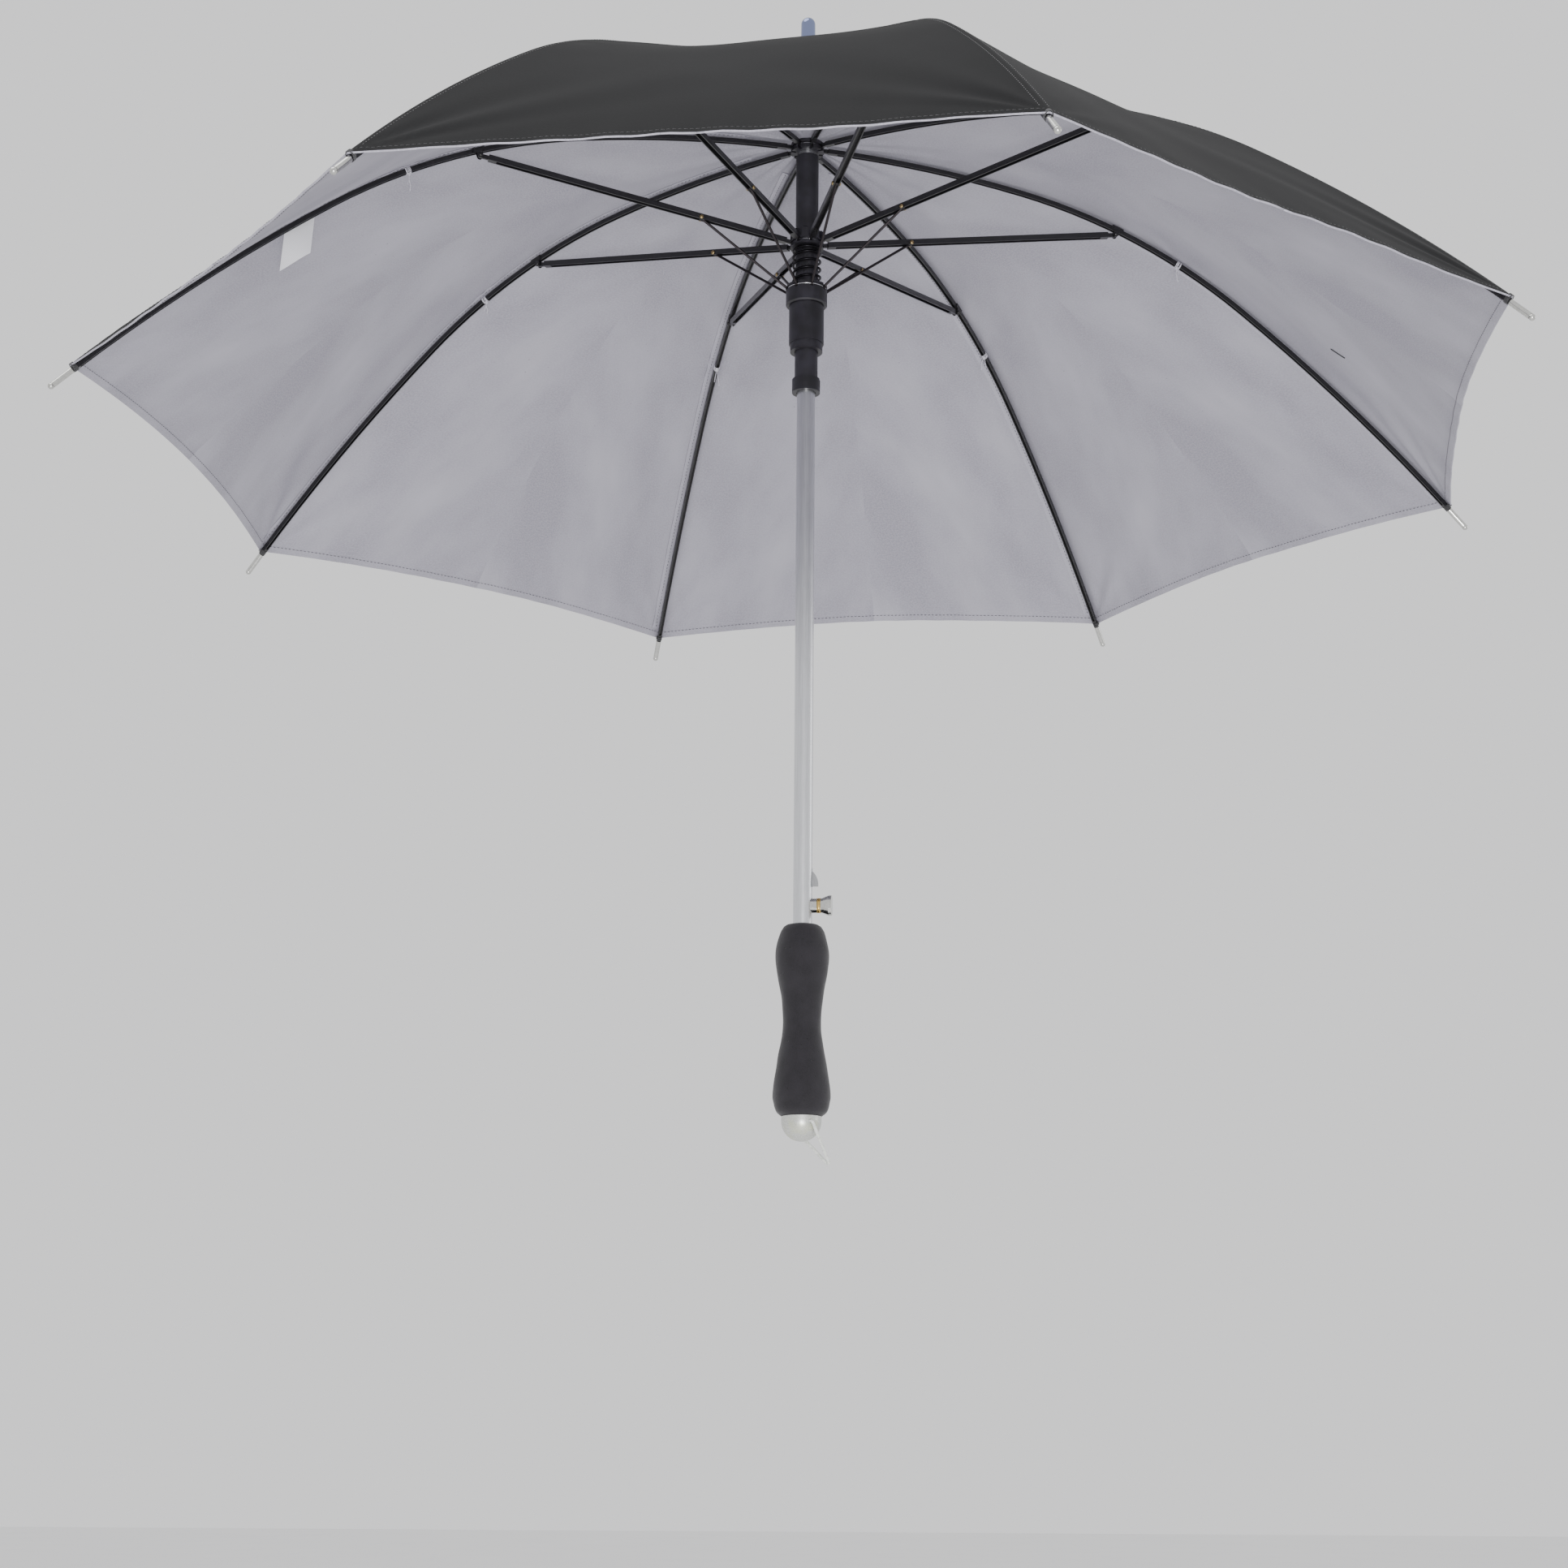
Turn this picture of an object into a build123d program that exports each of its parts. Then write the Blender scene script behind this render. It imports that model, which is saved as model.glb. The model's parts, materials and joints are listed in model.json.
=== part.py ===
from build123d import *
from math import asin, atan2, cos, degrees, hypot, pi, radians, sin, sqrt
import os

# A stick umbrella that opens by a spring, drawn open. Millimetres. The shaft stands on +Z and
# the origin is on its axis, at the waist of the grip. Each rib lies in a plane through the
# shaft, where (r, z) is the distance from the shaft and the height.

# ---- driving dimensions ----
RIB_COUNT = 8
FIRST_RIB = 14.83  # azimuth of the first rib's plane, degrees
HALF_GORE = 180.0 / RIB_COUNT

SHAFT_R = 6.5
SHAFT_WALL = 0.8
SHAFT_BOTTOM = -57.0
SHAFT_TOP = 649.0

PIVOT_R = 10.5  # distance of the crown's and the ring's pivots from the shaft's axis
CROWN_Z = 643.5
FOLD = 61.8  # degrees that a rib folds down
RIB_ARCS = ((155.0, 10.0), (190.0, 26.0), (235.0, 10.0))  # length of each arc and its turn, degrees
RIB_WIDTH = 3.2
RIB_HEIGHT = 3.4
RIB_WALL = 0.7
RIB_END = 562.0  # where the bar ends and its tip begins, along the rib
JOINT_AT = 232.5  # where the stretcher's joint is, along the rib
JOINT_DROP = 3.8  # from the rib's centreline down to the joint's pin

WIRE_R = 0.6  # binding wires of the crown, the ring and the collar
EYE_R = 1.5
EYE_HOLE_R = 0.9
BLADE = 1.6  # thickness of a flattened end
PIN_R = 0.8
PIN_HEAD_R = 1.4
PIN_HEAD = 0.5

STRETCHER_WIDTH = 4.4
STRETCHER_HEIGHT = 4.0
STRETCHER_WALL = 0.7
STRUT_AT = 68.9  # the strut's pin along the stretcher, from the ring
STRUT_DROP = 0.6
STRUT_R = 0.95
STRUT_EYE = 1.7  # thickness of a strut's eye

COLLAR_PIVOT_R = 14.0
COLLAR_Z = 532.5  # height of the collar's wire

CLOTH = 0.6
CLOTH_LIFT = 3.4  # from a rib's centreline to the cloth's inner side
CLOTH_SAG = 8.0
CORNER_AT = 561.0  # the cloth's corner along a rib
HEM_AT = 549.0  # the hem's middle along a gore
CLOTH_GAP = 0.2
CLOTH_ROWS = 14

GRIP_BOTTOM = -60.5
GRIP_TOP = 69.0
BALL_R = 13.5
BALL_Z = -63.5

LATCH_AZIMUTH = FIRST_RIB - HALF_GORE  # between two ribs
TOOTH_Z = 96.0  # flat underside of the catch's tooth
BUTTON_Z = 82.5
CATCH_PIVOT_Z = 133.0

BUTTON_STEM = (10.0, 7.0)  # height and width
BUTTON_HEAD = (14.0, 10.0)

LOOP_AZIMUTH = -64.0  # of the loop's hinge line
LOOP_Z = -64.5
LOOP_TILT = 37.7  # degrees off straight down
LOOP_WIRE_R = 1.1
LOOP_HALF_WIDTH = 16.2
LOOP_END_HALF = 1.35
LOOP_LENGTH = 33.0
LOOP_HOLE_R = 1.2
LOOP_PIN_START = 9.5  # how far from the axis its pins reach into the ball

TUBE_R = 8.2  # runner tube
TUBE_BORE = 6.8
TUBE_TOP = 637.0
FLANGE_R = 10.0
FLANGE_BOTTOM = 454.0
RING_R = 12.0  # stretcher ring
SLEEVE_BOTTOM = 485.0
SLEEVE_R = 12.5
SPRING_SEAT = 490.0
COLLAR_R = 14.8


# ---- places worked out from them ----
def rib_arcs():
    """Each arc of a rib's centreline: its first length, centre, radius, and first and last slope."""
    arcs = []
    start, slope = 0.0, 0.0
    r, z = PIVOT_R, CROWN_Z
    for length, turn in RIB_ARCS:
        radius = length / radians(turn)
        centre = (r - radius * sin(radians(slope)), z - radius * cos(radians(slope)))
        arcs.append((start, centre, radius, slope, slope + turn))
        start += length
        slope += turn
        r = centre[0] + radius * sin(radians(slope))
        z = centre[1] + radius * cos(radians(slope))
    return arcs


ARCS = rib_arcs()


def rib_point(along, lift=0.0):
    """The (r, z) point at a length along a rib, lifted off its centreline, and the slope there."""
    start, centre, radius, slope, _ = [a for a in ARCS if a[0] <= along][-1]
    slope += degrees((along - start) / radius)
    reach = radius + lift
    return centre[0] + reach * sin(radians(slope)), centre[1] + reach * cos(radians(slope)), slope


JOINT_R, JOINT_Z, JOINT_SLOPE = rib_point(JOINT_AT, -JOINT_DROP)
RING_Z = 2 * JOINT_Z - CROWN_Z  # equal arms keep the runner's path exact
ARM = hypot(JOINT_R - PIVOT_R, JOINT_Z - RING_Z)
ARM_SLOPE = degrees(asin((JOINT_Z - RING_Z) / ARM))


def along_arm(fold, distance, drop):
    """A point of the stretcher, from the ring's pivot, with the ribs folded by an angle."""
    slope = radians(ARM_SLOPE + fold)
    r = distance * cos(slope) + drop * sin(slope)
    return PIVOT_R + r, distance * sin(slope) - drop * cos(slope)


STRUT_PIN_R, STRUT_PIN_RISE = along_arm(0, STRUT_AT, STRUT_DROP)
STRUT_RISE = RING_Z + STRUT_PIN_RISE - COLLAR_Z
STRUT = hypot(STRUT_PIN_R - COLLAR_PIVOT_R, STRUT_RISE)
STRUT_SLOPE = degrees(atan2(STRUT_RISE, STRUT_PIN_R - COLLAR_PIVOT_R))
SHUT_PIN_R, SHUT_PIN_RISE = along_arm(FOLD, STRUT_AT, STRUT_DROP)
SHUT_RISE = sqrt(STRUT**2 - (SHUT_PIN_R - COLLAR_PIVOT_R) ** 2)
STRUT_TURN = degrees(asin(SHUT_RISE / STRUT)) - STRUT_SLOPE
COLLAR_TRAVEL = (RING_Z - COLLAR_Z) - (SHUT_RISE - SHUT_PIN_RISE)
RUNNER_TRAVEL = 2 * ARM * (sin(radians(ARM_SLOPE + FOLD)) - sin(radians(ARM_SLOPE)))


# ---- helpers ----
def plane_at(r, z, slope=0.0):
    """A drawing plane in the rib's own plane, with its x axis outward and down by a slope."""
    return Plane(origin=(r, 0, z), x_dir=(cos(radians(slope)), 0, -sin(radians(slope))), z_dir=(0, -1, 0))


def plate(plane, outline, thickness):
    """An outline of a drawing plane, made a plate that is centred on that plane."""
    return extrude(plane * outline, thickness / 2, both=True)


def bar(x0, x1, y0, y1):
    return Pos((x0 + x1) / 2, (y0 + y1) / 2) * Rectangle(x1 - x0, y1 - y0)


def disc(x, y, radius):
    return Pos(x, y) * Circle(radius)


def tube(outer, inner, z0, z1):
    solid = Pos(0, 0, z0) * Cylinder(outer, z1 - z0, align=(Align.CENTER, Align.CENTER, Align.MIN))
    if inner:
        solid -= Pos(0, 0, z0 - 1) * Cylinder(inner, z1 - z0 + 2, align=(Align.CENTER, Align.CENTER, Align.MIN))
    return solid


def wire_ring(radius, z):
    return Pos(0, 0, z) * Torus(radius, WIRE_R)


def slot(width, r0, r1, z0, z1):
    """A radial slot's tool in the plane of azimuth 0."""
    return Pos((r0 + r1) / 2, 0, (z0 + z1) / 2) * Box(r1 - r0, width, z1 - z0)


def all_round(tool):
    """Eight turned copies of a tool, one for each rib's plane."""
    return [Rot(0, 0, FIRST_RIB + k * 360 / RIB_COUNT) * tool for k in range(RIB_COUNT)]


def at_rib(k, solid):
    return Rot(0, 0, FIRST_RIB + k * 360 / RIB_COUNT) * solid


def pin(plane, x, y, half_length):
    """A rivet across a drawing plane: its shank and two low heads."""
    shank = plate(plane, disc(x, y, PIN_R), 2 * half_length)
    heads = plate(plane, disc(x, y, PIN_HEAD_R), 2 * half_length) - plate(
        plane, disc(x, y, 2 * PIN_HEAD_R), 2 * (half_length - PIN_HEAD)
    )
    return shank + heads


def rib_band(start, end, low, high):
    """The outline between two offsets of a rib's centreline, from one length to another."""
    upper, lower = [], []
    for first, centre, radius, slope, last_slope in ARCS:
        last = first + radius * radians(last_slope - slope)
        s0, s1 = max(start, first), min(end, last)
        if s1 <= s0:
            continue
        a0 = 90 - slope - degrees((s0 - first) / radius)
        turn = degrees((s1 - s0) / radius)
        upper.append(CenterArc(centre, radius + high, a0, -turn))
        lower.append(CenterArc(centre, radius + low, a0, -turn))
    sides = [Line(upper[0] @ 0, lower[0] @ 0), Line(upper[-1] @ 1, lower[-1] @ 1)]
    return Face(Wire(upper + lower + sides))


# ---- ribs, stretchers and struts, drawn at azimuth 0 ----
RIB_PLANE = Plane.XZ


def rib():
    half = RIB_HEIGHT / 2
    channel = plate(RIB_PLANE, rib_band(5, RIB_END, -half, half), RIB_WIDTH)
    groove = rib_band(12, RIB_END - 6, -half - 1, half - 2 * RIB_WALL)
    channel -= plate(RIB_PLANE, groove, RIB_WIDTH - 2 * RIB_WALL)
    crown = plane_at(PIVOT_R, CROWN_Z)
    blade = plate(crown, disc(0, 0, EYE_R) + bar(0, 7, -EYE_R, EYE_R), BLADE)
    r, z, slope = rib_point(RIB_END)
    tenon = plane_at(r, z, slope)
    tenon = Plane(origin=tenon.origin, z_dir=tenon.x_dir) * Pos(0, 0, 4) * Cylinder(1.1, 12)
    return channel + blade + tenon - plate(crown, disc(0, 0, EYE_HOLE_R), 2 * BLADE)


def rib_clip():
    """The folded clip that wraps the rib and hangs the joint's pin under it."""
    plane = plane_at(JOINT_R, JOINT_Z, JOINT_SLOPE)
    inside = RIB_WIDTH / 2 + 0.1
    top = JOINT_DROP + RIB_HEIGHT / 2 + 0.1
    sides = disc(0, 0, 2.0) + bar(-2.0, 2.0, 0, top + 0.4) + bar(-4.5, 4.5, 2.6, top + 0.4)
    clip = plate(plane, sides, 2 * inside + 1.0)
    clip -= plate(plane, bar(-9, 9, -9, top), 2 * inside)
    return clip - plate(plane, disc(0, 0, PIN_R + 0.05), 9)


def rib_pin():
    return pin(plane_at(JOINT_R, JOINT_Z, JOINT_SLOPE), 0, 0, RIB_WIDTH / 2 + 0.65 + PIN_HEAD)


def rib_tip():
    r, z, slope = rib_point(RIB_END + 0.2)
    plane = plane_at(r, z, slope)
    axis = Plane(origin=plane.origin, z_dir=plane.x_dir)
    body = axis * Pos(0, 0, 8.2) * Cylinder(2.1, 16.4) + axis * Pos(0, 0, 17.6) * Sphere(2.2)
    return body - axis * Pos(0, 0, 5) * Cylinder(1.2, 12)


STRETCHER_PLANE = plane_at(PIVOT_R, RING_Z, -ARM_SLOPE)


def stretcher():
    half = STRETCHER_HEIGHT / 2
    channel = plate(STRETCHER_PLANE, bar(5, ARM - 6, -half, half), STRETCHER_WIDTH)
    groove = bar(11, ARM - 12, -half - 1, half - STRETCHER_WALL)
    channel -= plate(STRETCHER_PLANE, groove, STRETCHER_WIDTH - 2 * STRETCHER_WALL)
    inner = disc(0, 0, EYE_R) + bar(0, 7, -EYE_R, EYE_R)
    outer = disc(ARM, 0, EYE_R) + bar(ARM - 8, ARM, -EYE_R, EYE_R)
    holes = disc(0, 0, EYE_HOLE_R) + disc(ARM, 0, PIN_R + 0.2)
    solid = channel + plate(STRETCHER_PLANE, inner + outer, BLADE)
    solid -= plate(STRETCHER_PLANE, holes, 2 * BLADE)
    return solid - plate(STRETCHER_PLANE, disc(STRUT_AT, -STRUT_DROP, PIN_R + 0.05), 9)


def stretcher_pin():
    return pin(STRETCHER_PLANE, STRUT_AT, -STRUT_DROP, STRETCHER_WIDTH / 2 + 0.05 + PIN_HEAD)


def strut():
    """A wire from the stretcher's pin to the collar, where it hooks round the wire from outside."""
    plane = plane_at(COLLAR_PIVOT_R, COLLAR_Z, -STRUT_SLOPE)
    run = Plane(origin=plane.origin, z_dir=plane.x_dir)
    wire = run * Pos(0, 0, STRUT / 2) * Cylinder(STRUT_R, STRUT - 2.6)
    upper = plate(plane, disc(STRUT, 0, EYE_R), STRUT_EYE)
    hook = plate(plane, disc(0, 0, EYE_R) - bar(-9, 0, -9, 9), STRUT_EYE)
    holes = disc(STRUT, 0, PIN_R + 0.2) + disc(0, 0, EYE_HOLE_R)
    return wire + upper + hook - plate(plane, holes, 3 * STRUT_EYE)


# ---- the cloth, one sector for each rib ----
def cloth_rows(lift):
    """The cloth's points at one lift: for each row, the left seam of the sector, the rib and the right."""
    rows = []
    for r, z in ((7.6, 646.9), (13.5, 646.9)):
        rows.append(((r, z + lift), (r, z + lift)))
    for k in range(CLOTH_ROWS + 1):
        along = 30 + k * (CORNER_AT - 30) / CLOTH_ROWS
        at_gore = along * HEM_AT / CORNER_AT
        sag = CLOTH_SAG * sin(pi * min(at_gore / HEM_AT, 0.8))
        over_rib = rib_point(along, CLOTH_LIFT + lift)[:2]
        over_gore = rib_point(at_gore, CLOTH_LIFT + lift - sag)[:2]
        rows.append((over_rib, over_gore))
    points = []
    for (r, z), (gore_r, gore_z) in rows:
        reach = gore_r * cos(radians(HALF_GORE))
        x = reach * cos(radians(HALF_GORE))
        y = reach * sin(radians(HALF_GORE)) - CLOTH_GAP / 2
        points.append([(x, -y, gore_z), (r, 0, z), (x, y, gore_z)])
    return points


def triangles(a, b, c, d):
    return [Face(Wire.make_polygon(list(corners))) for corners in ((a, b, c), (a, c, d))]


def cloth_sector():
    inner, outer = cloth_rows(0), cloth_rows(CLOTH)
    faces = []
    last = len(inner) - 1
    for i in range(last):
        for j, k in ((0, 1), (2, 1)):
            for side in (inner, outer):
                faces += triangles(side[i][j], side[i + 1][j], side[i + 1][k], side[i][k])
        for j in (0, 2):
            faces += triangles(inner[i][j], inner[i + 1][j], outer[i + 1][j], outer[i][j])
    for i in (0, last):
        for j in (0, 1):
            faces += triangles(inner[i][j], inner[i][j + 1], outer[i][j + 1], outer[i][j])
    return Solid(Shell(faces))


# ---- the shaft and what is fixed to it ----
def at_latch(solid):
    return Rot(0, 0, LATCH_AZIMUTH) * solid


def button_outline(height, width):
    return SlotOverall(height, width, rotation=90)


def button_tool(r0, r1, height, width, top=None):
    """A stretch of the button, from one distance off the shaft's axis to another."""
    plane = Plane(origin=(r0, 0, BUTTON_Z), x_dir=(0, 1, 0), z_dir=(1, 0, 0))
    if top is None:
        return extrude(plane * button_outline(height, width), r1 - r0)
    return loft([plane * button_outline(height, width), plane.offset(r1 - r0) * button_outline(*top)])


def shaft_tube():
    solid = tube(SHAFT_R, SHAFT_R - SHAFT_WALL, SHAFT_BOTTOM, SHAFT_TOP)
    tooth_slot = slot(2.8, 2, 9, TOOTH_Z - 1.0, TOOTH_Z + 13)
    stem_hole = button_tool(2, 9, BUTTON_STEM[0] + 0.5, BUTTON_STEM[1] + 0.5)
    return solid - at_latch(tooth_slot) - at_latch(stem_hole)


def crown_notch():
    solid = tube(12.0, SHAFT_R + 0.05, CROWN_Z - 3.4, CROWN_Z + 3.2)
    solid -= tube(13.0, 9.85, CROWN_Z - 0.65, CROWN_Z + 0.65)
    return solid - all_round(slot(2.2, 8.6, 14, CROWN_Z - 4, CROWN_Z + 1.8))


def ferrule():
    base_r, tip_r, base_z, top_z = 6.3, 5.25, SHAFT_TOP + 0.2, 749.0
    side = Line((base_r, base_z), (tip_r, top_z - tip_r))
    nose = CenterArc((0, top_z - tip_r), tip_r, 0, 90)
    base = Polyline((0, top_z), (0, base_z), (base_r, base_z))
    solid = revolve(Plane.XZ * Face(Wire([side, nose] + base.edges())), Axis.Z)
    return solid + tube(SHAFT_R - SHAFT_WALL - 0.1, 0, base_z - 16, base_z)


def canopy_rosette():
    return tube(14.0, SHAFT_R + 0.1, CROWN_Z + 4.2, CROWN_Z + 5.4)


def grip_foam():
    side = Spline(
        (13.6, GRIP_BOTTOM),
        (18.3, -53.5),
        (19.4, -44),
        (16.4, -23),
        (13.0, -2),
        (13.9, 18),
        (17.2, 37),
        (18.2, 50),
        (15.2, 63),
        (11.5, GRIP_TOP),
    )
    bore = SHAFT_R + 0.1
    inside = Polyline((11.5, GRIP_TOP), (bore, GRIP_TOP), (bore, GRIP_BOTTOM), (13.6, GRIP_BOTTOM))
    return revolve(Plane.XZ * Face(Wire([side] + inside.edges())), Axis.Z)


def end_ball():
    spigot = SHAFT_R - SHAFT_WALL - 0.1
    shoulder = GRIP_BOTTOM - 0.1
    dome = CenterArc((0, BALL_Z), BALL_R, 0, -90)
    rest = Polyline(
        (0, BALL_Z - BALL_R),
        (0, SHAFT_BOTTOM + 20),
        (spigot, SHAFT_BOTTOM + 20),
        (spigot, shoulder),
        (BALL_R, shoulder),
        (BALL_R, BALL_Z),
    )
    solid = revolve(Plane.XZ * Face(Wire([dome] + rest.edges())), Axis.Z)
    hole = Pos(0, 0, LOOP_Z) * Rot(0, 0, LOOP_AZIMUTH) * Rot(0, 90, 0) * Cylinder(LOOP_HOLE_R, 40)
    return solid - hole


def carry_loop():
    """A wire loop: two short pins into the ball, two legs and a narrow round end."""
    half, end, length = LOOP_HALF_WIDTH, LOOP_END_HALF, LOOP_LENGTH
    path = FilletPolyline(
        (LOOP_PIN_START, 0),
        (half, 0),
        (end, -length),
        (-end, -length),
        (-half, 0),
        (-LOOP_PIN_START, 0),
        radius=(1.4, end * 0.95, end * 0.95, 1.4),
    )
    plane = Pos(0, 0, LOOP_Z) * Rot(0, 0, LOOP_AZIMUTH) * Rot(90 + LOOP_TILT, 0, 0)
    section = Plane(origin=path @ 0, z_dir=path % 0) * Circle(LOOP_WIRE_R)
    return plane * sweep(section, path)


# ---- the latch in the shaft ----
def latch_body():
    solid = tube(SHAFT_R - SHAFT_WALL - 0.1, 0, 64, CATCH_PIVOT_Z + 7)
    solid -= slot(2.8, -9, 9, 66, CATCH_PIVOT_Z + 4)
    solid -= button_tool(-9, 9, BUTTON_STEM[0] + 0.5, BUTTON_STEM[1] + 0.5)
    bore = plate(plane_at(0.5, CATCH_PIVOT_Z), disc(0, 0, PIN_R + 0.05), 20)
    return at_latch(solid - bore)


def catch_pin():
    return at_latch(plate(plane_at(0.5, CATCH_PIVOT_Z), disc(0, 0, PIN_R), 10.6))


def runner_catch():
    """A lever on a pin, with a tooth that stands out of the shaft and a tail behind the button."""
    plane = Plane.XZ
    tail = Polygon((0.1, BUTTON_Z + 3), (1.6, BUTTON_Z + 3), (1.6, TOOTH_Z), (-0.6, TOOTH_Z), align=None)
    lever = tail + bar(-0.6, 1.6, TOOTH_Z, CATCH_PIVOT_Z)
    ramp = Spline((10.5, TOOTH_Z + 1.2), (9.4, TOOTH_Z + 6.5), (6.0, TOOTH_Z + 11))
    back = Polyline(ramp @ 1, (1.0, TOOTH_Z + 11), (1.0, TOOTH_Z), (10.5, TOOTH_Z), ramp @ 0)
    tooth = Face(Wire([ramp] + back.edges()))
    eye = disc(0.5, CATCH_PIVOT_Z, 2.3)
    solid = plate(plane, lever + tooth + eye, 2.2)
    return at_latch(solid - plate(plane, disc(0.5, CATCH_PIVOT_Z, PIN_R + 0.15), 9))


def release_button():
    stem = button_tool(1.85, 13.1, *BUTTON_STEM)
    flare = button_tool(13.0, 17.8, *BUTTON_STEM, top=BUTTON_HEAD)
    head = button_tool(17.8, 19.9, *BUTTON_HEAD)
    return at_latch(stem + flare + head)


def button_spring():
    """The coil's outer shape, between the button and the far wall of the shaft."""
    plane = Plane(origin=(-5.2, 0, BUTTON_Z - 1.5), x_dir=(0, 1, 0), z_dir=(1, 0, 0))
    ring = Circle(2.0) - Circle(1.3)
    return at_latch(extrude(plane * ring, 6.9))


# ---- the runner and the spring collar ----
def runner_tube():
    solid = tube(TUBE_R, 0, FLANGE_BOTTOM, TUBE_TOP) + tube(FLANGE_R, 0, FLANGE_BOTTOM, FLANGE_BOTTOM + 10)
    solid -= tube(TUBE_BORE, 0, FLANGE_BOTTOM - 1, TUBE_TOP + 1)
    window = slot(3.2, 5, 12, FLANGE_BOTTOM + 3, FLANGE_BOTTOM + 16)
    return solid - at_latch(window)


def stretcher_ring():
    solid = tube(RING_R, TUBE_R + 0.05, RING_Z - 3.5, RING_Z + 9.5)
    top_edge = solid.edges().filter_by(GeomType.CIRCLE).group_by(Axis.Z)[-1].sort_by(SortBy.RADIUS)[-1]
    solid = chamfer(top_edge, 1.2)
    solid -= tube(13.0, 9.85, RING_Z - 0.65, RING_Z + 0.65)
    solid -= all_round(slot(2.4, 8.8, 14, RING_Z - 1.9, RING_Z + 10))
    return solid - all_round(slot(5.2, 9.3, 14, RING_Z + 2.0, RING_Z + 10))


def opening_spring():
    """The coil's outer shape, from the sleeve's seat up to the ring."""
    return tube(10.6, 8.8, SPRING_SEAT + 0.1, RING_Z - 3.6)


def spring_sleeve():
    solid = tube(SLEEVE_R, 0, SLEEVE_BOTTOM + 6, COLLAR_Z - 13)
    solid += tube(SLEEVE_R - 0.9, 0, SLEEVE_BOTTOM, SLEEVE_BOTTOM + 6)
    solid += tube(SLEEVE_R - 0.5, 0, COLLAR_Z - 13, COLLAR_Z + 2.0)
    solid -= tube(TUBE_R + 0.3, 0, SLEEVE_BOTTOM - 1, COLLAR_Z)
    return solid - tube(10.9, 0, SPRING_SEAT, COLLAR_Z + 9)


def collar():
    solid = tube(COLLAR_R, 12.05, COLLAR_Z - 12.5, COLLAR_Z + 2.5)
    bottom_edge = solid.edges().filter_by(GeomType.CIRCLE).group_by(Axis.Z)[0].sort_by(SortBy.RADIUS)[-1]
    solid = chamfer(bottom_edge, 1.0)
    solid -= tube(16.0, COLLAR_PIVOT_R - 0.65, COLLAR_Z - 0.65, COLLAR_Z + 0.65)
    return solid - all_round(slot(2.5, 12.0, 17, COLLAR_Z - 2.0, COLLAR_Z + 4))


# ---- write one file for each node ----
def main():
    os.makedirs("parts", exist_ok=True)
    nodes = {
        "shaft_tube": shaft_tube(),
        "crown_notch": crown_notch(),
        "crown_wire": wire_ring(PIVOT_R, CROWN_Z),
        "ferrule": ferrule(),
        "canopy_rosette": canopy_rosette(),
        "grip_foam": grip_foam(),
        "end_ball": end_ball(),
        "carry_loop": carry_loop(),
        "latch_body": Compound([latch_body(), catch_pin()]),
        "runner_catch": runner_catch(),
        "release_button": release_button(),
        "button_spring": button_spring(),
        "runner_tube": runner_tube(),
        "stretcher_ring": stretcher_ring(),
        "ring_wire": wire_ring(PIVOT_R, RING_Z),
        "opening_spring": opening_spring(),
        "spring_sleeve": spring_sleeve(),
        "collar": collar(),
        "collar_wire": wire_ring(COLLAR_PIVOT_R, COLLAR_Z),
    }
    rib_set = Compound([rib(), rib_clip(), rib_pin()])
    stretcher_set = Compound([stretcher(), stretcher_pin()])
    for k in range(RIB_COUNT):
        nodes[f"rib_{k + 1}"] = at_rib(k, rib_set)
        nodes[f"rib_tip_{k + 1}"] = at_rib(k, rib_tip())
        nodes[f"stretcher_{k + 1}"] = at_rib(k, stretcher_set)
        nodes[f"strut_{k + 1}"] = at_rib(k, strut())
        nodes[f"canopy_sector_{k + 1}"] = at_rib(k, cloth_sector())
    for name, solid in nodes.items():
        export_step(solid, f"parts/{name}.step")
    print(f"joint ({JOINT_R:.3f}, {JOINT_Z:.3f}), ring {RING_Z:.3f}, arm {ARM:.3f} at {ARM_SLOPE:.3f} deg")
    print(f"strut pin ({STRUT_PIN_R:.3f}, {RING_Z + STRUT_PIN_RISE:.3f}), strut {STRUT:.3f}")
    print(f"strut turn {FOLD - STRUT_TURN:.4f} deg, collar travel {COLLAR_TRAVEL:.4f}")
    print(f"runner travel {RUNNER_TRAVEL:.3f}, flange bottom shut {FLANGE_BOTTOM - RUNNER_TRAVEL:.3f}")


main()
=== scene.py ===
"""The looks of an automatic stick umbrella, open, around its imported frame. Metres throughout."""
import json
import math

import bmesh
import bpy
import numpy as np
from mathutils import Matrix, Vector


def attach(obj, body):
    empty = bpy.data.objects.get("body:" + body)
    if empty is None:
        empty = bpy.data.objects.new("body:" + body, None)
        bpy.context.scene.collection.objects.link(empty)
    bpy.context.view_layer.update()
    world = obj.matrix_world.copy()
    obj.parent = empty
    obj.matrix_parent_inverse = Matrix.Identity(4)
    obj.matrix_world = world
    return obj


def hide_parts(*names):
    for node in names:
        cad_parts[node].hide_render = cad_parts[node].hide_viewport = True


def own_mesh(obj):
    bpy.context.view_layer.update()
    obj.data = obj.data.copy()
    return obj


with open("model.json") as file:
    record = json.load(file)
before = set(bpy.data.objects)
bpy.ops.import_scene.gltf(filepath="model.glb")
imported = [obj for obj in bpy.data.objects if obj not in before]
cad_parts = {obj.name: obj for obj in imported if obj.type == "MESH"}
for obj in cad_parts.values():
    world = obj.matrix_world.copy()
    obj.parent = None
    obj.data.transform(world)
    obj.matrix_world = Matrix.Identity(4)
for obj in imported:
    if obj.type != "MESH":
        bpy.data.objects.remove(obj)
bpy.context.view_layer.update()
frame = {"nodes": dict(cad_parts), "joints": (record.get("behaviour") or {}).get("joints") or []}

MM = 0.001
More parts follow.
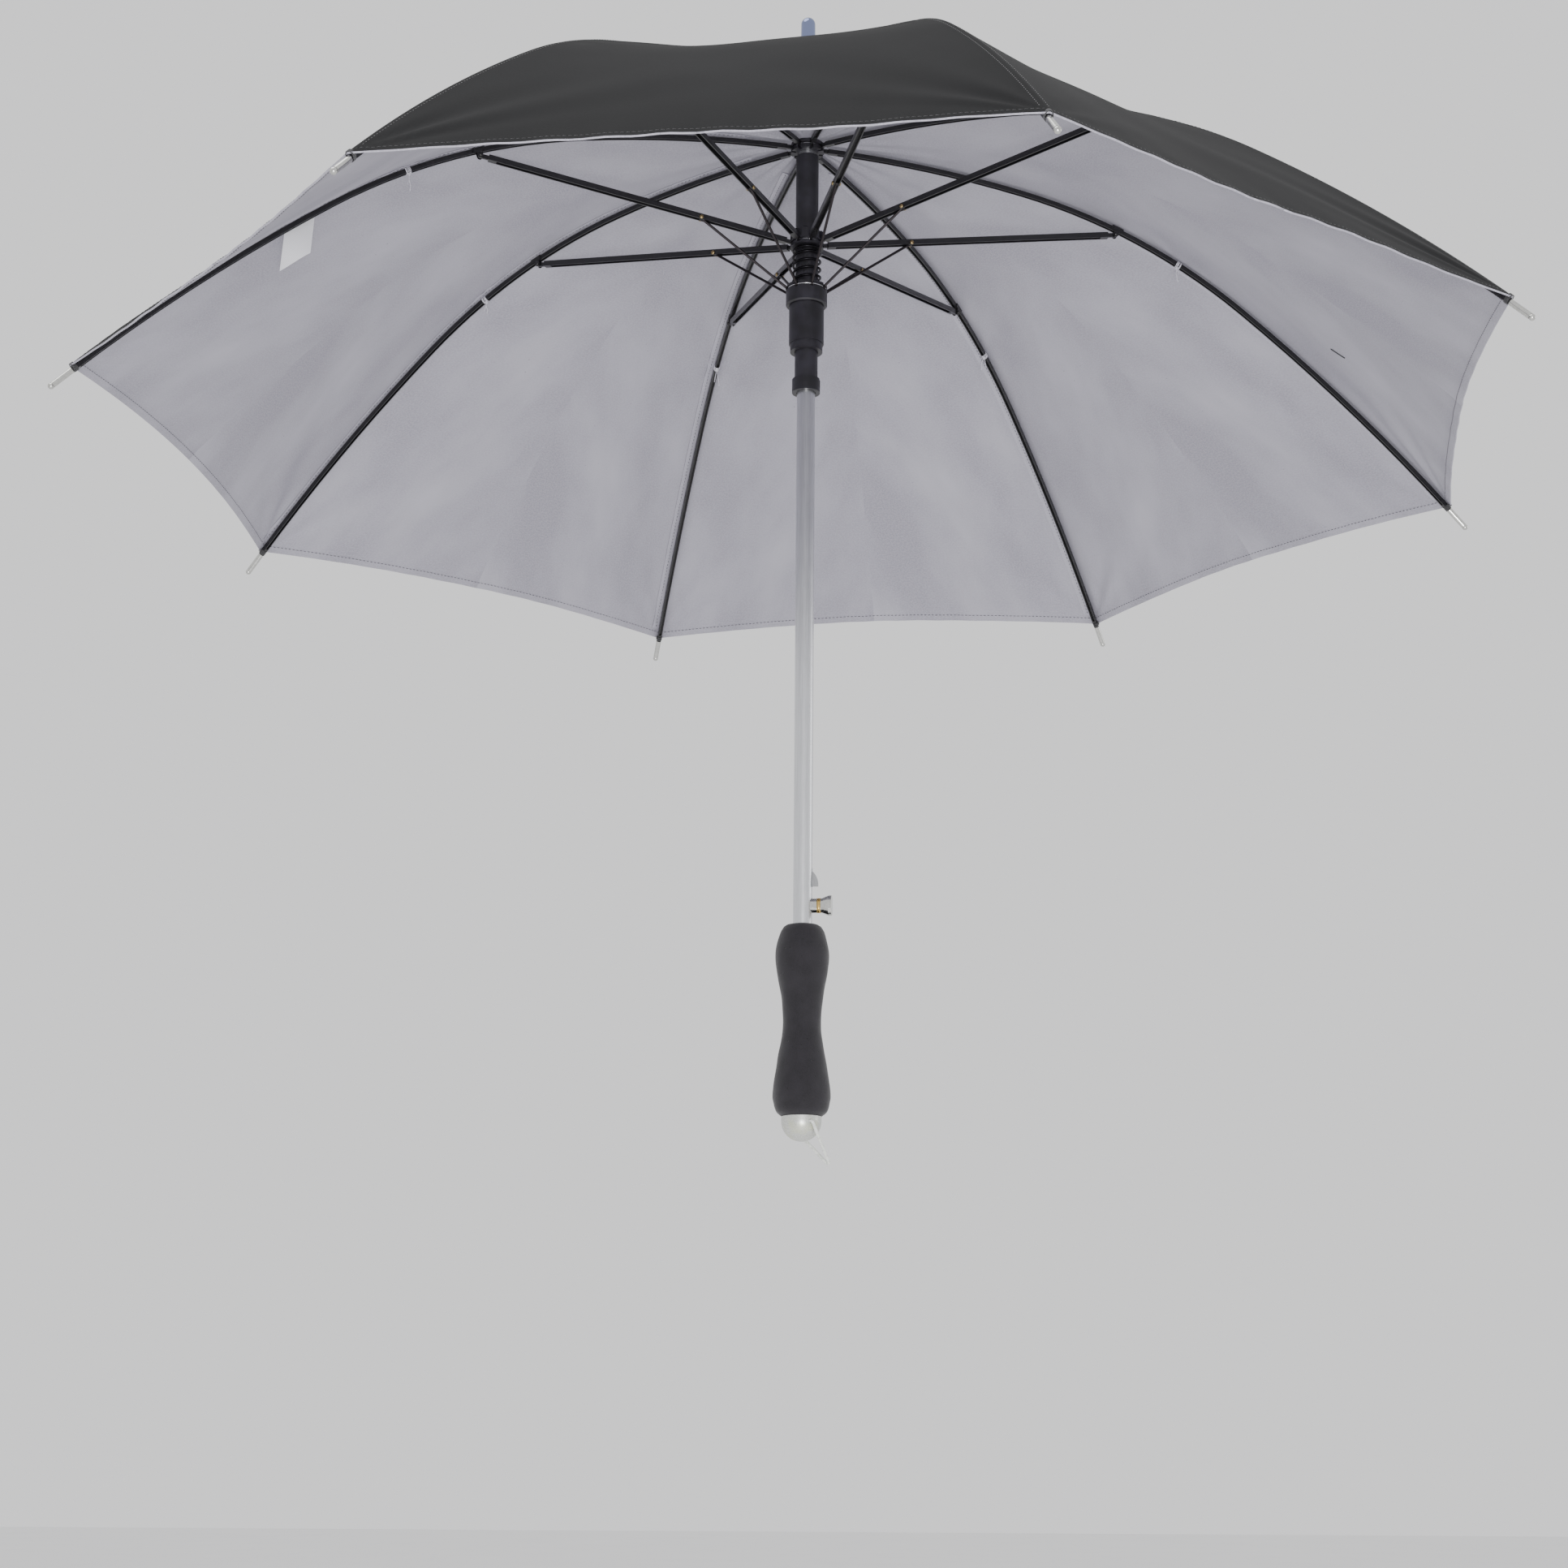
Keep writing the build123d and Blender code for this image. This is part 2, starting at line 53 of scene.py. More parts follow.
JOINTS = {joint["name"]: joint for joint in frame["joints"]}


def pin_place(joint):
    """(r, z) of a joint's pin."""
    x, y, z = JOINTS[joint]["pos_m"]
    return math.hypot(x, y), z


# ---- sizes that the cloth and its sewing follow ----
RIBS = 8
HALF_GORE = math.pi / RIBS
PIVOT_R, CROWN_Z = pin_place("rib_1_fold")
FIRST_RIB = math.atan2(JOINTS["rib_1_fold"]["pos_m"][1], JOINTS["rib_1_fold"]["pos_m"][0])
RIB_ARCS = ((155 * MM, 10.0), (190 * MM, 26.0), (235 * MM, 10.0))  # lengths and turns in degrees
CORNER_AT = 561 * MM  # along the rib, where the cloth's corner ends
HEM_AT = 549 * MM  # the same at mid gore
CLOTH_START = -2.9 * MM
CLOTH_LIFT = 3.5 * MM
CLOTH_SAG = 8 * MM
CLOTH = 0.3 * MM
HEM_WIDTH = 7 * MM
GORE_SPREAD = 0.36  # half width of a sector over its length from the crown
TIE_AT = 286 * MM
LABEL_AT = 371 * MM
LABEL = (25 * MM, 27 * MM)
STRAP = (110 * MM, 15.2 * MM)
THREAD_R = 0.3 * MM
FILL_KEEP = 0.62  # the ply that fills the furled cloth near the crown has its width divided by this
BUTTON_SIDE = -0.5  # the button stands midway between rib 8 and rib 1


def azimuth(k):
    return FIRST_RIB + 2 * HALF_GORE * k


def turned(points, k):
    """Points drawn in the plane of azimuth 0, turned to rib k."""
    c, s = math.cos(azimuth(k)), math.sin(azimuth(k))
    points = np.asarray(points, float)
    x, y, z = points[..., 0], points[..., 1], points[..., 2]
    return np.stack([c * x - s * y, s * x + c * y, z], -1)


# ---- materials ----
def colour(value):
    """An sRGB hex colour as linear RGBA."""
    parts = [int(value[i:i + 2], 16) / 255 for i in (1, 3, 5)]
    return [c / 12.92 if c <= 0.04045 else ((c + 0.055) / 1.055) ** 2.4 for c in parts] + [1.0]


def plug(node, inputs):
    """Links or sets a node's inputs, each by its name or number."""
    for name, value in inputs.items():
        if isinstance(value, bpy.types.NodeSocket):
            node.id_data.links.new(value, node.inputs[name])
        else:
            node.inputs[name].default_value = value


def add(tree, kind, inputs=None, output=0, **settings):
    """Adds a node with its settings and links, and gives back one of its outputs."""
    node = tree.nodes.new(kind)
    for name, value in settings.items():
        setattr(node, name, value)
    plug(node, inputs or {})
    return node.outputs[output]


def finish(name, shade, **sockets):
    """A material with one Principled shader, whose tree is then given its patterns."""
    material = bpy.data.materials.new(name)
    material.use_nodes = True
    tree = material.node_tree
    shader = tree.nodes["Principled BSDF"]
    plug(shader, {"Base Color": colour(shade)})
    for socket, value in sockets.items():
        plug(shader, {socket.replace("_", " ").title().replace("Ior", "IOR"): value})
    material.diffuse_color = colour(shade)
    return material, tree, shader


def weave(tree, place, spacing):
    """Plain weave: threads that pass over and under each other at a spacing."""
    waves = []
    for axis in ("X", "Y"):
        along = add(tree, "ShaderNodeSeparateXYZ", {"Vector": place}, axis)
        turns = add(tree, "ShaderNodeMath", {0: along, 1: 2 * math.pi / spacing}, operation="MULTIPLY")
        waves.append(add(tree, "ShaderNodeMath", {0: turns}, operation="SINE"))
    crossing = add(tree, "ShaderNodeMath", {0: waves[0], 1: waves[1]}, operation="MULTIPLY")
    return add(tree, "ShaderNodeMath", {0: crossing, 1: 0.5, 2: 0.5}, operation="MULTIPLY_ADD")


def tinted(tree, field, low, high, under, over, blend="MIX", most=1.0):
    """A colour that passes from one to another as a field rises from low to high."""
    spread = {"Value": field, "From Min": low, "From Max": high, "To Max": most}
    share = add(tree, "ShaderNodeMapRange", spread)
    return add(tree, "ShaderNodeMix", {0: share, 6: under, 7: over}, 2, data_type="RGBA", blend_type=blend)


def dress(shader, tone, relief, depth, strength, rough=None):
    """Gives a shader its colour, a relief of a depth in metres and, from a field, its roughness."""
    tree = shader.id_data
    bump = add(tree, "ShaderNodeBump", {"Height": relief, "Distance": depth, "Strength": strength})
    plug(shader, {"Base Color": tone, "Normal": bump})
    if rough:
        field, low, high = rough
        spread = add(tree, "ShaderNodeMapRange", {"Value": field, "To Min": low, "To Max": high})
        plug(shader, {"Roughness": spread})


def black_pongee():
    """Dyed polyester pongee, plain weave: matt, a faint grain, a slight sheen at grazing angles."""
    material, tree, shader = finish("black_pongee", "#111113", roughness=0.85, sheen_weight=0.02,
                                    specular_ior_level=0.15)
    place = add(tree, "ShaderNodeUVMap", uv_map="cloth")
    whole = add(tree, "ShaderNodeTexCoord", output="Object")
    threads = weave(tree, place, 1.1 * MM)  # real thread spacing is 0.25 mm, too fine to show
    grain = add(tree, "ShaderNodeTexNoise", {"Vector": place, "Scale": 1 / (1.6 * MM), "Detail": 3})
    patches = add(tree, "ShaderNodeTexNoise", {"Vector": whole, "Scale": 1 / (45 * MM), "Detail": 4})
    tone = tinted(tree, grain, 0.3, 0.75, colour("#0d0d0f"), colour("#171719"))
    tone = tinted(tree, patches, 0.35, 0.7, tone, colour("#151517"), "LIGHTEN")
    tone = tinted(tree, threads, 0, 1, tone, colour("#0a0a0b"), most=0.35)
    height = add(tree, "ShaderNodeMath", {0: threads, 1: 0.5, 2: grain}, operation="MULTIPLY_ADD")
    dress(shader, tone, height, 0.05 * MM, 0.6)
    return material


def silver_coating(name="silver_coating", light="#a5a3ad", dark="#8a8793"):
    """Silver polyurethane coating on the cloth's inner side: pale grey, satin, with pinholes and rubs."""
    material, tree, shader = finish(name, light, roughness=0.58, metallic=0.18)
    place = add(tree, "ShaderNodeUVMap", uv_map="cloth")
    drawn = add(tree, "ShaderNodeMapping", {"Vector": place, "Scale": (1.0, 0.45, 1.0)})
    threads = weave(tree, place, 1.0 * MM)  # real thread spacing is 0.25 mm, too fine to show
    grain = add(tree, "ShaderNodeTexNoise", {"Vector": place, "Scale": 1 / (1.3 * MM), "Detail": 3})
    clouds = add(tree, "ShaderNodeTexNoise", {"Vector": drawn, "Scale": 1 / (60 * MM), "Detail": 4})
    tone = tinted(tree, grain, 0.3, 0.72, colour(dark), colour(light))
    tone = tinted(tree, clouds, 0.35, 0.75, tone, colour("#afadb7"), "LIGHTEN")
    spots = add(tree, "ShaderNodeTexVoronoi", {"Vector": place, "Scale": 1 / (9 * MM)}, "Distance")
    holes = add(tree, "ShaderNodeMapRange", {"Value": spots, "From Min": 0.06, "From Max": 0.035})
    rubbed = add(tree, "ShaderNodeMapRange", {"Value": clouds, "From Min": 0.5, "From Max": 0.62})
    pinholes = add(tree, "ShaderNodeMath", {0: holes, 1: rubbed}, operation="MULTIPLY")
    tone = tinted(tree, pinholes, 0, 1, tone, colour("#4c4a55"), most=0.75)
    height = add(tree, "ShaderNodeMath", {0: threads, 1: 0.45, 2: grain}, operation="MULTIPLY_ADD")
    dress(shader, tone, height, 0.05 * MM, 0.7, rough=(grain, 0.5, 0.68))
    return material


def black_lacquer():
    """Baked black lacquer on rolled steel: smooth and glossy, with fine rubs where parts slide."""
    material, tree, shader = finish("black_lacquer", "#141316", roughness=0.3, coat_weight=0.25,
                                    coat_roughness=0.2)
    place = add(tree, "ShaderNodeTexCoord", output="Object")
    rubs = add(tree, "ShaderNodeTexNoise",
               {"Vector": place, "Scale": 1 / (2.5 * MM), "Detail": 6, "Roughness": 0.7})
    ripple = add(tree, "ShaderNodeTexNoise", {"Vector": place, "Scale": 1 / (0.8 * MM), "Detail": 2})
    tone = tinted(tree, rubs, 0.62, 0.78, colour("#131215"), colour("#3a3436"))
    dress(shader, tone, ripple, 0.02 * MM, 0.5, rough=(rubs, 0.22, 0.48))
    return material


def moulded_nylon(name="moulded_nylon", shade="#18171a", light="#2a2830"):
    """Injection-moulded nylon: fine spark-eroded grain and a soft satin shine."""
    material, tree, shader = finish(name, shade, roughness=0.42)
    place = add(tree, "ShaderNodeTexCoord", output="Object")
    grain = add(tree, "ShaderNodeTexNoise", {"Vector": place, "Scale": 1 / (0.5 * MM), "Detail": 3})
    handling = add(tree, "ShaderNodeTexNoise", {"Vector": place, "Scale": 1 / (12 * MM), "Detail": 4})
    tone = tinted(tree, handling, 0.4, 0.75, colour(shade), colour(light))
    dress(shader, tone, grain, 0.03 * MM, 0.6, rough=(handling, 0.34, 0.52))
    return material


def metal(name, shade, dull, bright, grain, stretch=1.0):
    """A drawn or plated metal: a grain stretched with the draw, and marks between bright and dull."""
    material, tree, shader = finish(name, shade, metallic=1.0, roughness=(dull + bright) / 2)
    place = add(tree, "ShaderNodeTexCoord", output="Object")
    drawn = add(tree, "ShaderNodeMapping", {"Vector": place, "Scale": (1, 1, stretch)})
    lines = add(tree, "ShaderNodeTexNoise", {"Vector": drawn, "Scale": 1 / grain, "Detail": 3})
    marks = add(tree, "ShaderNodeTexNoise",
                {"Vector": place, "Scale": 1 / (7 * MM), "Detail": 5, "Roughness": 0.6})
    base = colour(shade)
    darker = [c * 0.82 for c in base[:3]] + [1]
    tone = tinted(tree, lines, 0.3, 0.7, darker, base)
    dress(shader, tone, lines, 0.008 * MM, 0.5, rough=(marks, bright, dull))
    return material


def ferrule_metal(polish_from):
    """Turned aluminium: satin blasted below, mirror polished and dark blue-grey above a line."""
    material, tree, shader = finish("ferrule_metal", "#c3cfd0", metallic=1.0, roughness=0.3)
    place = add(tree, "ShaderNodeTexCoord", output="Object")
    height = add(tree, "ShaderNodeSeparateXYZ", {"Vector": place}, "Z")
    uneven = add(tree, "ShaderNodeTexNoise", {"Vector": place, "Scale": 1 / (9 * MM), "Detail": 2})
    edge = add(tree, "ShaderNodeMath", {0: uneven, 1: 1.2 * MM, 2: height}, operation="MULTIPLY_ADD")
    polished = add(tree, "ShaderNodeMapRange",
                   {"Value": edge, "From Min": polish_from, "From Max": polish_from + 0.6 * MM})
    spun = add(tree, "ShaderNodeMapping", {"Vector": place, "Scale": (0.05, 0.05, 1)})
    rings = add(tree, "ShaderNodeTexNoise", {"Vector": spun, "Scale": 1 / (0.4 * MM), "Detail": 2})
    satin = tinted(tree, rings, 0, 1, colour("#aebdc0"), colour("#cfd9d8"))
    tone = tinted(tree, polished, 0, 1, satin, colour("#7d86a6"))
    dress(shader, tone, rings, 0.006 * MM, 0.5, rough=(polished, 0.36, 0.07))
    return material


def foam_skin():
    """Closed-cell rubber foam, ground to shape: matt charcoal with open pores, darkened with painted shade,
    and a dusty bloom.
    """
    material, tree, shader = finish("foam_skin", "#29272b", roughness=0.88, sheen_weight=0.15)
    place = add(tree, "ShaderNodeTexCoord", output="Object")
    cells = add(tree, "ShaderNodeTexVoronoi", {"Vector": place, "Scale": 1 / (4.2 * MM)}, "Distance")
    chance = add(tree, "ShaderNodeTexNoise", {"Vector": place, "Scale": 1 / (9 * MM), "Detail": 2})
    centres = add(tree, "ShaderNodeMapRange", {"Value": cells, "From Min": 0.15, "From Max": 0.07})
    opened = add(tree, "ShaderNodeMapRange", {"Value": chance, "From Min": 0.47, "From Max": 0.53})
    shaded_pores = add(tree, "ShaderNodeMath", {0: centres, 1: opened}, operation="MULTIPLY")
    grain = add(tree, "ShaderNodeTexNoise",
                {"Vector": place, "Scale": 1 / (0.9 * MM), "Detail": 4, "Roughness": 0.65})
    bloom = add(tree, "ShaderNodeTexNoise", {"Vector": place, "Scale": 1 / (14 * MM), "Detail": 4})
    tone = tinted(tree, grain, 0.3, 0.7, colour("#0f0d11"), colour("#1c191f"))
    tone = tinted(tree, bloom, 0.4, 0.8, tone, colour("#211e24"), "LIGHTEN")
    # the open pores are painted near black: painted shade in the cells
    tone = tinted(tree, shaded_pores, 0, 1, tone, colour("#070708"))
    skin = add(tree, "ShaderNodeMath", {0: grain, 1: 0.35}, operation="MULTIPLY")
    height = add(tree, "ShaderNodeMath", {0: skin, 1: shaded_pores}, operation="SUBTRACT")
    dress(shader, tone, height, 0.22 * MM, 0.8)
    return material


def silver_lacquer():
    """Silver lacquer on a moulded dome: fine metal flake under a soft gloss."""
    material, tree, shader = finish("silver_lacquer", "#c7c8c4", metallic=0.55, roughness=0.36,
                                    coat_weight=0.2)
    place = add(tree, "ShaderNodeTexCoord", output="Object")
    flake = add(tree, "ShaderNodeTexNoise",
                {"Vector": place, "Scale": 1 / (0.45 * MM), "Detail": 2, "Roughness": 0.8})
    wear = add(tree, "ShaderNodeTexNoise", {"Vector": place, "Scale": 1 / (8 * MM), "Detail": 4})
    tone = tinted(tree, flake, 0.35, 0.65, colour("#aeb0ac"), colour("#d9dad5"))
    tone = tinted(tree, wear, 0.5, 0.8, tone, colour("#c9cbb0"))
    dress(shader, tone, flake, 0.02 * MM, 0.4)
    return material


def coated_wire():
    """Pale epoxy coat on the loop's wire: near white, smooth, slightly uneven."""
    material, tree, shader = finish("coated_wire", "#d3d5d0", roughness=0.34, coat_weight=0.3)
    place = add(tree, "ShaderNodeTexCoord", output="Object")
    wear = add(tree, "ShaderNodeTexNoise", {"Vector": place, "Scale": 1 / (3 * MM), "Detail": 4})
    tone = tinted(tree, wear, 0.45, 0.75, colour("#dcded9"), colour("#b4b6b0"))
    dress(shader, tone, wear, 0.05 * MM, 0.5)
    return material


def sewing_thread(name, light, dark):
    """Twisted polyester thread: a slant of light and dark along it."""
    material, tree, shader = finish(name, light, roughness=0.6, sheen_weight=0.3)
    place = add(tree, "ShaderNodeTexCoord", output="Object")
    drawn = add(tree, "ShaderNodeMapping", {"Vector": place, "Scale": (1, 1, 0.5)})
    twist = add(tree, "ShaderNodeTexNoise", {"Vector": drawn, "Scale": 1 / (0.35 * MM), "Detail": 2})
    tone = tinted(tree, twist, 0.35, 0.65, colour(dark), colour(light))
    dress(shader, tone, twist, 0.05 * MM, 0.6)
    return material


def label_satin():
    """White woven satin ribbon, blank."""
    material, tree, shader = finish("label_satin", "#e6e6ea", roughness=0.45, sheen_weight=0.2)
    place = add(tree, "ShaderNodeUVMap", uv_map="cloth")
    threads = weave(tree, place, 0.9 * MM)  # real thread spacing is 0.15 mm, too fine to show
    dress(shader, tinted(tree, threads, 0, 1, colour("#d6d6dc"), colour("#eeeef1")), threads, 0.03 * MM, 0.5)
    return material


MATERIALS = {
    "pongee": black_pongee(),
    "silver": silver_coating(),
    # the same coating painted lighter: a painted highlight on the seam allowance and the cloth's folded edges
    "seam_silver": silver_coating("seam_silver", "#b6b4bf", "#9996a3"),
    "lacquer": black_lacquer(),
    "nylon": moulded_nylon(),
    "insert": moulded_nylon("grey_nylon", "#4a4a4e", "#5d5d62"),
    # drawn tube, etched and anodised: pale, with soft streaks along it
    "shaft": metal("satin_anodised_aluminium", "#dcdde0", 0.38, 0.26, 0.5 * MM, 0.02),
    # bright-drawn steel wire: small sharp glints
    "bright_wire": metal("bright_steel_wire", "#d6d6d8", 0.3, 0.16, 1.5 * MM),
    # blackened steel wire: dark, with a dull shine
    "strut": metal("dark_steel_wire", "#3b3739", 0.5, 0.32, 1.5 * MM),
    # oil-tempered spring wire: near black, with a thin bright line
    "spring": metal("oxide_spring_wire", "#232225", 0.42, 0.25, 1.2 * MM),
    # nickel plate on steel: bright and slightly warm
    "nickel": metal("nickel_plate", "#cfcfcb", 0.26, 0.12, 2 * MM),
    # stamped steel strip: grey, with the rolling marks still on it
    "stamped": metal("stamped_steel", "#a9aaac", 0.42, 0.28, 0.5 * MM, 0.1),
    # rolled brass strip: yellow and fairly bright
    "brass": metal("brass", "#cfae66", 0.36, 0.22, 1.5 * MM),
    # brass wash on steel rivets: dull and brownish
    "rivet": metal("brassed_steel", "#a38f68", 0.45, 0.3, 1.5 * MM),
    "ferrule": ferrule_metal(polish_from=731 * MM),
    "foam": foam_skin(),
    "dome": silver_lacquer(),
    "loop": coated_wire(),
    "black_thread": sewing_thread("black_thread", "#3a393d", "#19191b"),
    "dark_thread": sewing_thread("dark_thread", "#4a4752", "#232229"),
    "white_thread": sewing_thread("white_thread", "#e2e0e8", "#b9b6c2"),
    "label": label_satin(),
}


# ---- mesh helpers ----
def piece(name, vertices, faces, *materials, smooth=True):
    """A mesh object at the origin, with its place in its vertices."""
    mesh = bpy.data.meshes.new(name)
    mesh.from_pydata([tuple(v) for v in vertices], [], [tuple(f) for f in faces])
    for material in materials:
        mesh.materials.append(MATERIALS[material])
    mesh.polygons.foreach_set("use_smooth", [smooth] * len(mesh.polygons))
    mesh.update()
    item = bpy.data.objects.new(name, mesh)
    bpy.context.scene.collection.objects.link(item)
    return item


def joined(name, parts, *materials):
    """One piece of several (vertices, faces) parts."""
    vertices, faces = [], []
    for points, loops in parts:
        faces += [[i + len(vertices) for i in loop] for loop in loops]
        vertices += [tuple(p) for p in points]
    return piece(name, vertices, faces, *materials)


def outward(item):
    """Turns every closed shell of a piece to face outwards."""
    mesh = bmesh.new()
    mesh.from_mesh(item.data)
    bmesh.ops.recalc_face_normals(mesh, faces=mesh.faces)
    mesh.to_mesh(item.data)
    mesh.free()
    return item


def lathe(profile, segments, close=True):
    """A closed solid of revolution about Z from (r, z) points that start and end on the axis."""
    vertices, faces, rings = [], [], []
    for r, z in profile:
        if r < 1e-7:
            rings.append([len(vertices)])
            vertices.append((0, 0, z))
        else:
            rings.append(list(range(len(vertices), len(vertices) + segments)))
            for i in range(segments):
                turn = 2 * math.pi * i / segments
                vertices.append((r * math.cos(turn), r * math.sin(turn), z))
    pairs = list(zip(rings, rings[1:]))
    if close:
        pairs.append((rings[-1], rings[0]))
    for low, high in pairs:
        if len(low) == 1 and len(high) == 1:
            continue
        for i in range(segments):
            j = (i + 1) % segments
            loop = [low[i % len(low)], low[j % len(low)], high[j % len(high)], high[i % len(high)]]
            faces.append(list(dict.fromkeys(loop)))
    return vertices, faces


def wire(points, radius, sides=10, closed=False):
    """A round wire through points, with capped ends unless it is closed."""
    points = np.asarray(points, float)
    count = len(points)
    if closed:
        tangents = np.roll(points, -1, 0) - np.roll(points, 1, 0)
    else:
        tangents = np.gradient(points, axis=0)
    tangents /= np.linalg.norm(tangents, axis=1)[:, None]
    normal = np.cross(tangents[0], (0.31, 0.17, 0.93))
    vertices, faces = [], []
    for point, tangent in zip(points, tangents):
        normal = normal - tangent * np.dot(normal, tangent)
        normal /= np.linalg.norm(normal)
        side = np.cross(tangent, normal)
        for i in range(sides):
            turn = 2 * math.pi * i / sides
            vertices.append(point + radius * (math.cos(turn) * normal + math.sin(turn) * side))
    for a in range(count if closed else count - 1):
        b = (a + 1) % count
        for i in range(sides):
            j = (i + 1) % sides
            faces.append([a * sides + i, a * sides + j, b * sides + j, b * sides + i])
    if not closed:
        for end, tangent, sign in ((0, tangents[0], -1), (count - 1, tangents[-1], 1)):
            vertices.append(points[end] + sign * tangent * radius * 0.6)
            tip = len(vertices) - 1
            for i in range(sides):
                j = (i + 1) % sides
                loop = [end * sides + i, end * sides + j, tip]
                faces.append(loop if sign > 0 else loop[::-1])
    return vertices, faces


# ---- the cloth's surface ----
def rib_line(along, lift):
    """(r, z) along a rib's centreline, lifted off it. Short of the pivot the line runs on level."""
    along, lift = np.broadcast_arrays(np.asarray(along, float), np.asarray(lift, float))
    r_out, z_out = PIVOT_R + along, CROWN_Z + lift
    start, slope, r, z = 0.0, 0.0, PIVOT_R, CROWN_Z
    for length, turn in RIB_ARCS:
        radius = length / math.radians(turn)
        centre_r, centre_z = r - radius * math.sin(slope), z - radius * math.cos(slope)
        here = slope + (along - start) / radius
        on = along > start
        r_out = np.where(on, centre_r + (radius + lift) * np.sin(here), r_out)
        z_out = np.where(on, centre_z + (radius + lift) * np.cos(here), z_out)
        start += length
        slope += math.radians(turn)
        r, z = centre_r + radius * math.sin(slope), centre_z + radius * math.cos(slope)
    return r_out, z_out


PHASES = np.random.default_rng(17).uniform(0, 2 * math.pi, (RIBS, 12))


def wrinkles(gore, across, along):
    """How far the cloth stands off its smooth shape. across runs from -1 on one rib to 1 on the next."""
    p = PHASES[gore]
    length = CORNER_AT
    half = GORE_SPREAD * np.clip(along, 0, None)
    total = np.zeros(np.broadcast(across, along).shape)
    for side, shift in ((-1, 0), (1, 3)):  # pulls that fan out of each corner
        away = np.abs(across - side) * half
        back = length - along
        reach = np.hypot(away, back)
        fan = np.arctan2(away, back)
        fade = np.exp(-reach / (110 * MM)) * np.clip(reach / (45 * MM), 0, 1)
        total += 1.5 * MM * fade * np.sin(10 * fan + p[shift]) * np.sin(np.clip(fan, 0, 1.3) * 2.4)
        tied = np.hypot(away, along - TIE_AT)  # pulls round the tie
        ring = np.exp(-tied / (26 * MM)) * np.clip(tied / (14 * MM), 0, 1)
        total += 0.7 * MM * ring * np.sin(6 * np.arctan2(away, along - TIE_AT) + p[shift + 1])
    gather = np.exp(-np.clip(along - 12 * MM, 0, None) / (75 * MM)) * (1 - across**2)
    total += 1.1 * MM * gather * np.sin(3.3 * math.pi * across + p[6])
    soft = np.sin(across * 4.1 + p[7]) * np.sin(along / (83 * MM) + p[8])
    soft += 0.6 * np.sin(across * 7.3 + p[9]) * np.sin(along / (47 * MM) + p[10])
    total += 1.1 * MM * soft * (1 - across**2) * np.clip(along / (120 * MM), 0, 1)
    hem = np.exp(-(length - along) / (18 * MM))
    total += 0.35 * MM * hem * np.sin(across * half / (5.5 * MM) + p[11]) * (1 - across**2)
    return total


def smooth_cloth(share, across):
    """A point of the cloth before wrinkles, in the plane of azimuth 0.

    share runs from 0 at the crown to 1 at the hem, and across from -1 to 1 over the rib.
    """
    share, across = np.broadcast_arrays(np.asarray(share, float), np.asarray(across, float))
    rib_along = CLOTH_START + share * (CORNER_AT - CLOTH_START)
    gore_along = np.where(rib_along > 0, rib_along * HEM_AT / CORNER_AT, rib_along)
    side = np.abs(across)
    bend = 2 * side - side**2
    sag = CLOTH_SAG * np.sin(0.82 * math.pi * np.clip(rib_along / CORNER_AT, 0, 1) ** 0.9) * bend
    gore_r, gore_z = rib_line(gore_along, CLOTH_LIFT - sag)
    hem_r, hem_z = rib_line(rib_along, CLOTH_LIFT - sag)
    reach = hem_r * math.cos(HALF_GORE)
    shrink = 1 + (gore_r / np.maximum(hem_r, 1e-6) - 1) * bend
    x = (hem_r + side * (reach * math.cos(HALF_GORE) - hem_r)) * shrink
    y = across * reach * math.sin(HALF_GORE) * shrink
    z = hem_z + (gore_z - hem_z) * bend
    return np.stack([x, y, z], -1), rib_along


def cloth(k, share, across, lift=0.0):
    """Points of the finished cloth of sector k, turned to its rib."""
    step = 1e-4
    centre, along = smooth_cloth(share, across)
    ahead, _ = smooth_cloth(np.asarray(share) + step, across)
    beside, _ = smooth_cloth(share, np.asarray(across) + step)
    normal = np.cross(ahead - centre, beside - centre)
    normal /= np.linalg.norm(normal, axis=-1)[..., None]
    across = np.broadcast_to(np.asarray(across, float), along.shape)
    normal[..., 1] = np.where(np.abs(across) < 1e-9, 0, normal[..., 1])  # over the rib it has no lean
    right = wrinkles(k % RIBS, across - 1, along)
    left = wrinkles((k - 1) % RIBS, across + 1, along)
    off = np.where(across >= 0, right, left)
    beside_rib = np.abs(across) * along * GORE_SPREAD
    off *= np.clip((along + 2 * MM) / (20 * MM), 0, 1) * np.clip(beside_rib / (6 * MM), 0, 1)
    return turned(centre + normal * (off + lift)[..., None], k)


SHARES = 1 - (1 - np.linspace(0, 1, 112)) ** 1.12
_even = np.linspace(-1, 1, 65)
ACROSS = np.sign(_even) * np.abs(_even) ** 1.25


def sheet_mesh(outer, inner):
    """A thin closed sheet between two grids of points: outer faces, then inner faces, then the rim."""
    rows, columns = outer.shape[:2]
    vertices = np.concatenate([outer.reshape(-1, 3), inner.reshape(-1, 3)])
    under = rows * columns
    top, bottom, rim = [], [], []
    for a in range(rows - 1):
        for b in range(columns - 1):
            i = a * columns + b
            for loop in ([i, i + columns, i + columns + 1], [i, i + columns + 1, i + 1]):
                top.append(loop)
                bottom.append([j + under for j in loop[::-1]])
    for a in range(rows - 1):
        left, right = a * columns, a * columns + columns - 1
        rim.append([left, left + under, left + columns + under, left + columns])
        rim.append([right, right + columns, right + columns + under, right + under])
    for b in range(columns - 1):
        low, high = b, (rows - 1) * columns + b
        rim.append([low, low + 1, low + 1 + under, low + under])
        rim.append([high, high + under, high + 1 + under, high + 1])
    return vertices, top, bottom, rim


def crisp_rim(data):
    """Keeps the rim's shading off the two broad sides."""
    mesh = bmesh.new()
    mesh.from_mesh(data)
    for edge in mesh.edges:
        edge.smooth = len({face.material_index for face in edge.link_faces}) == 1
    mesh.to_mesh(data)
    mesh.free()


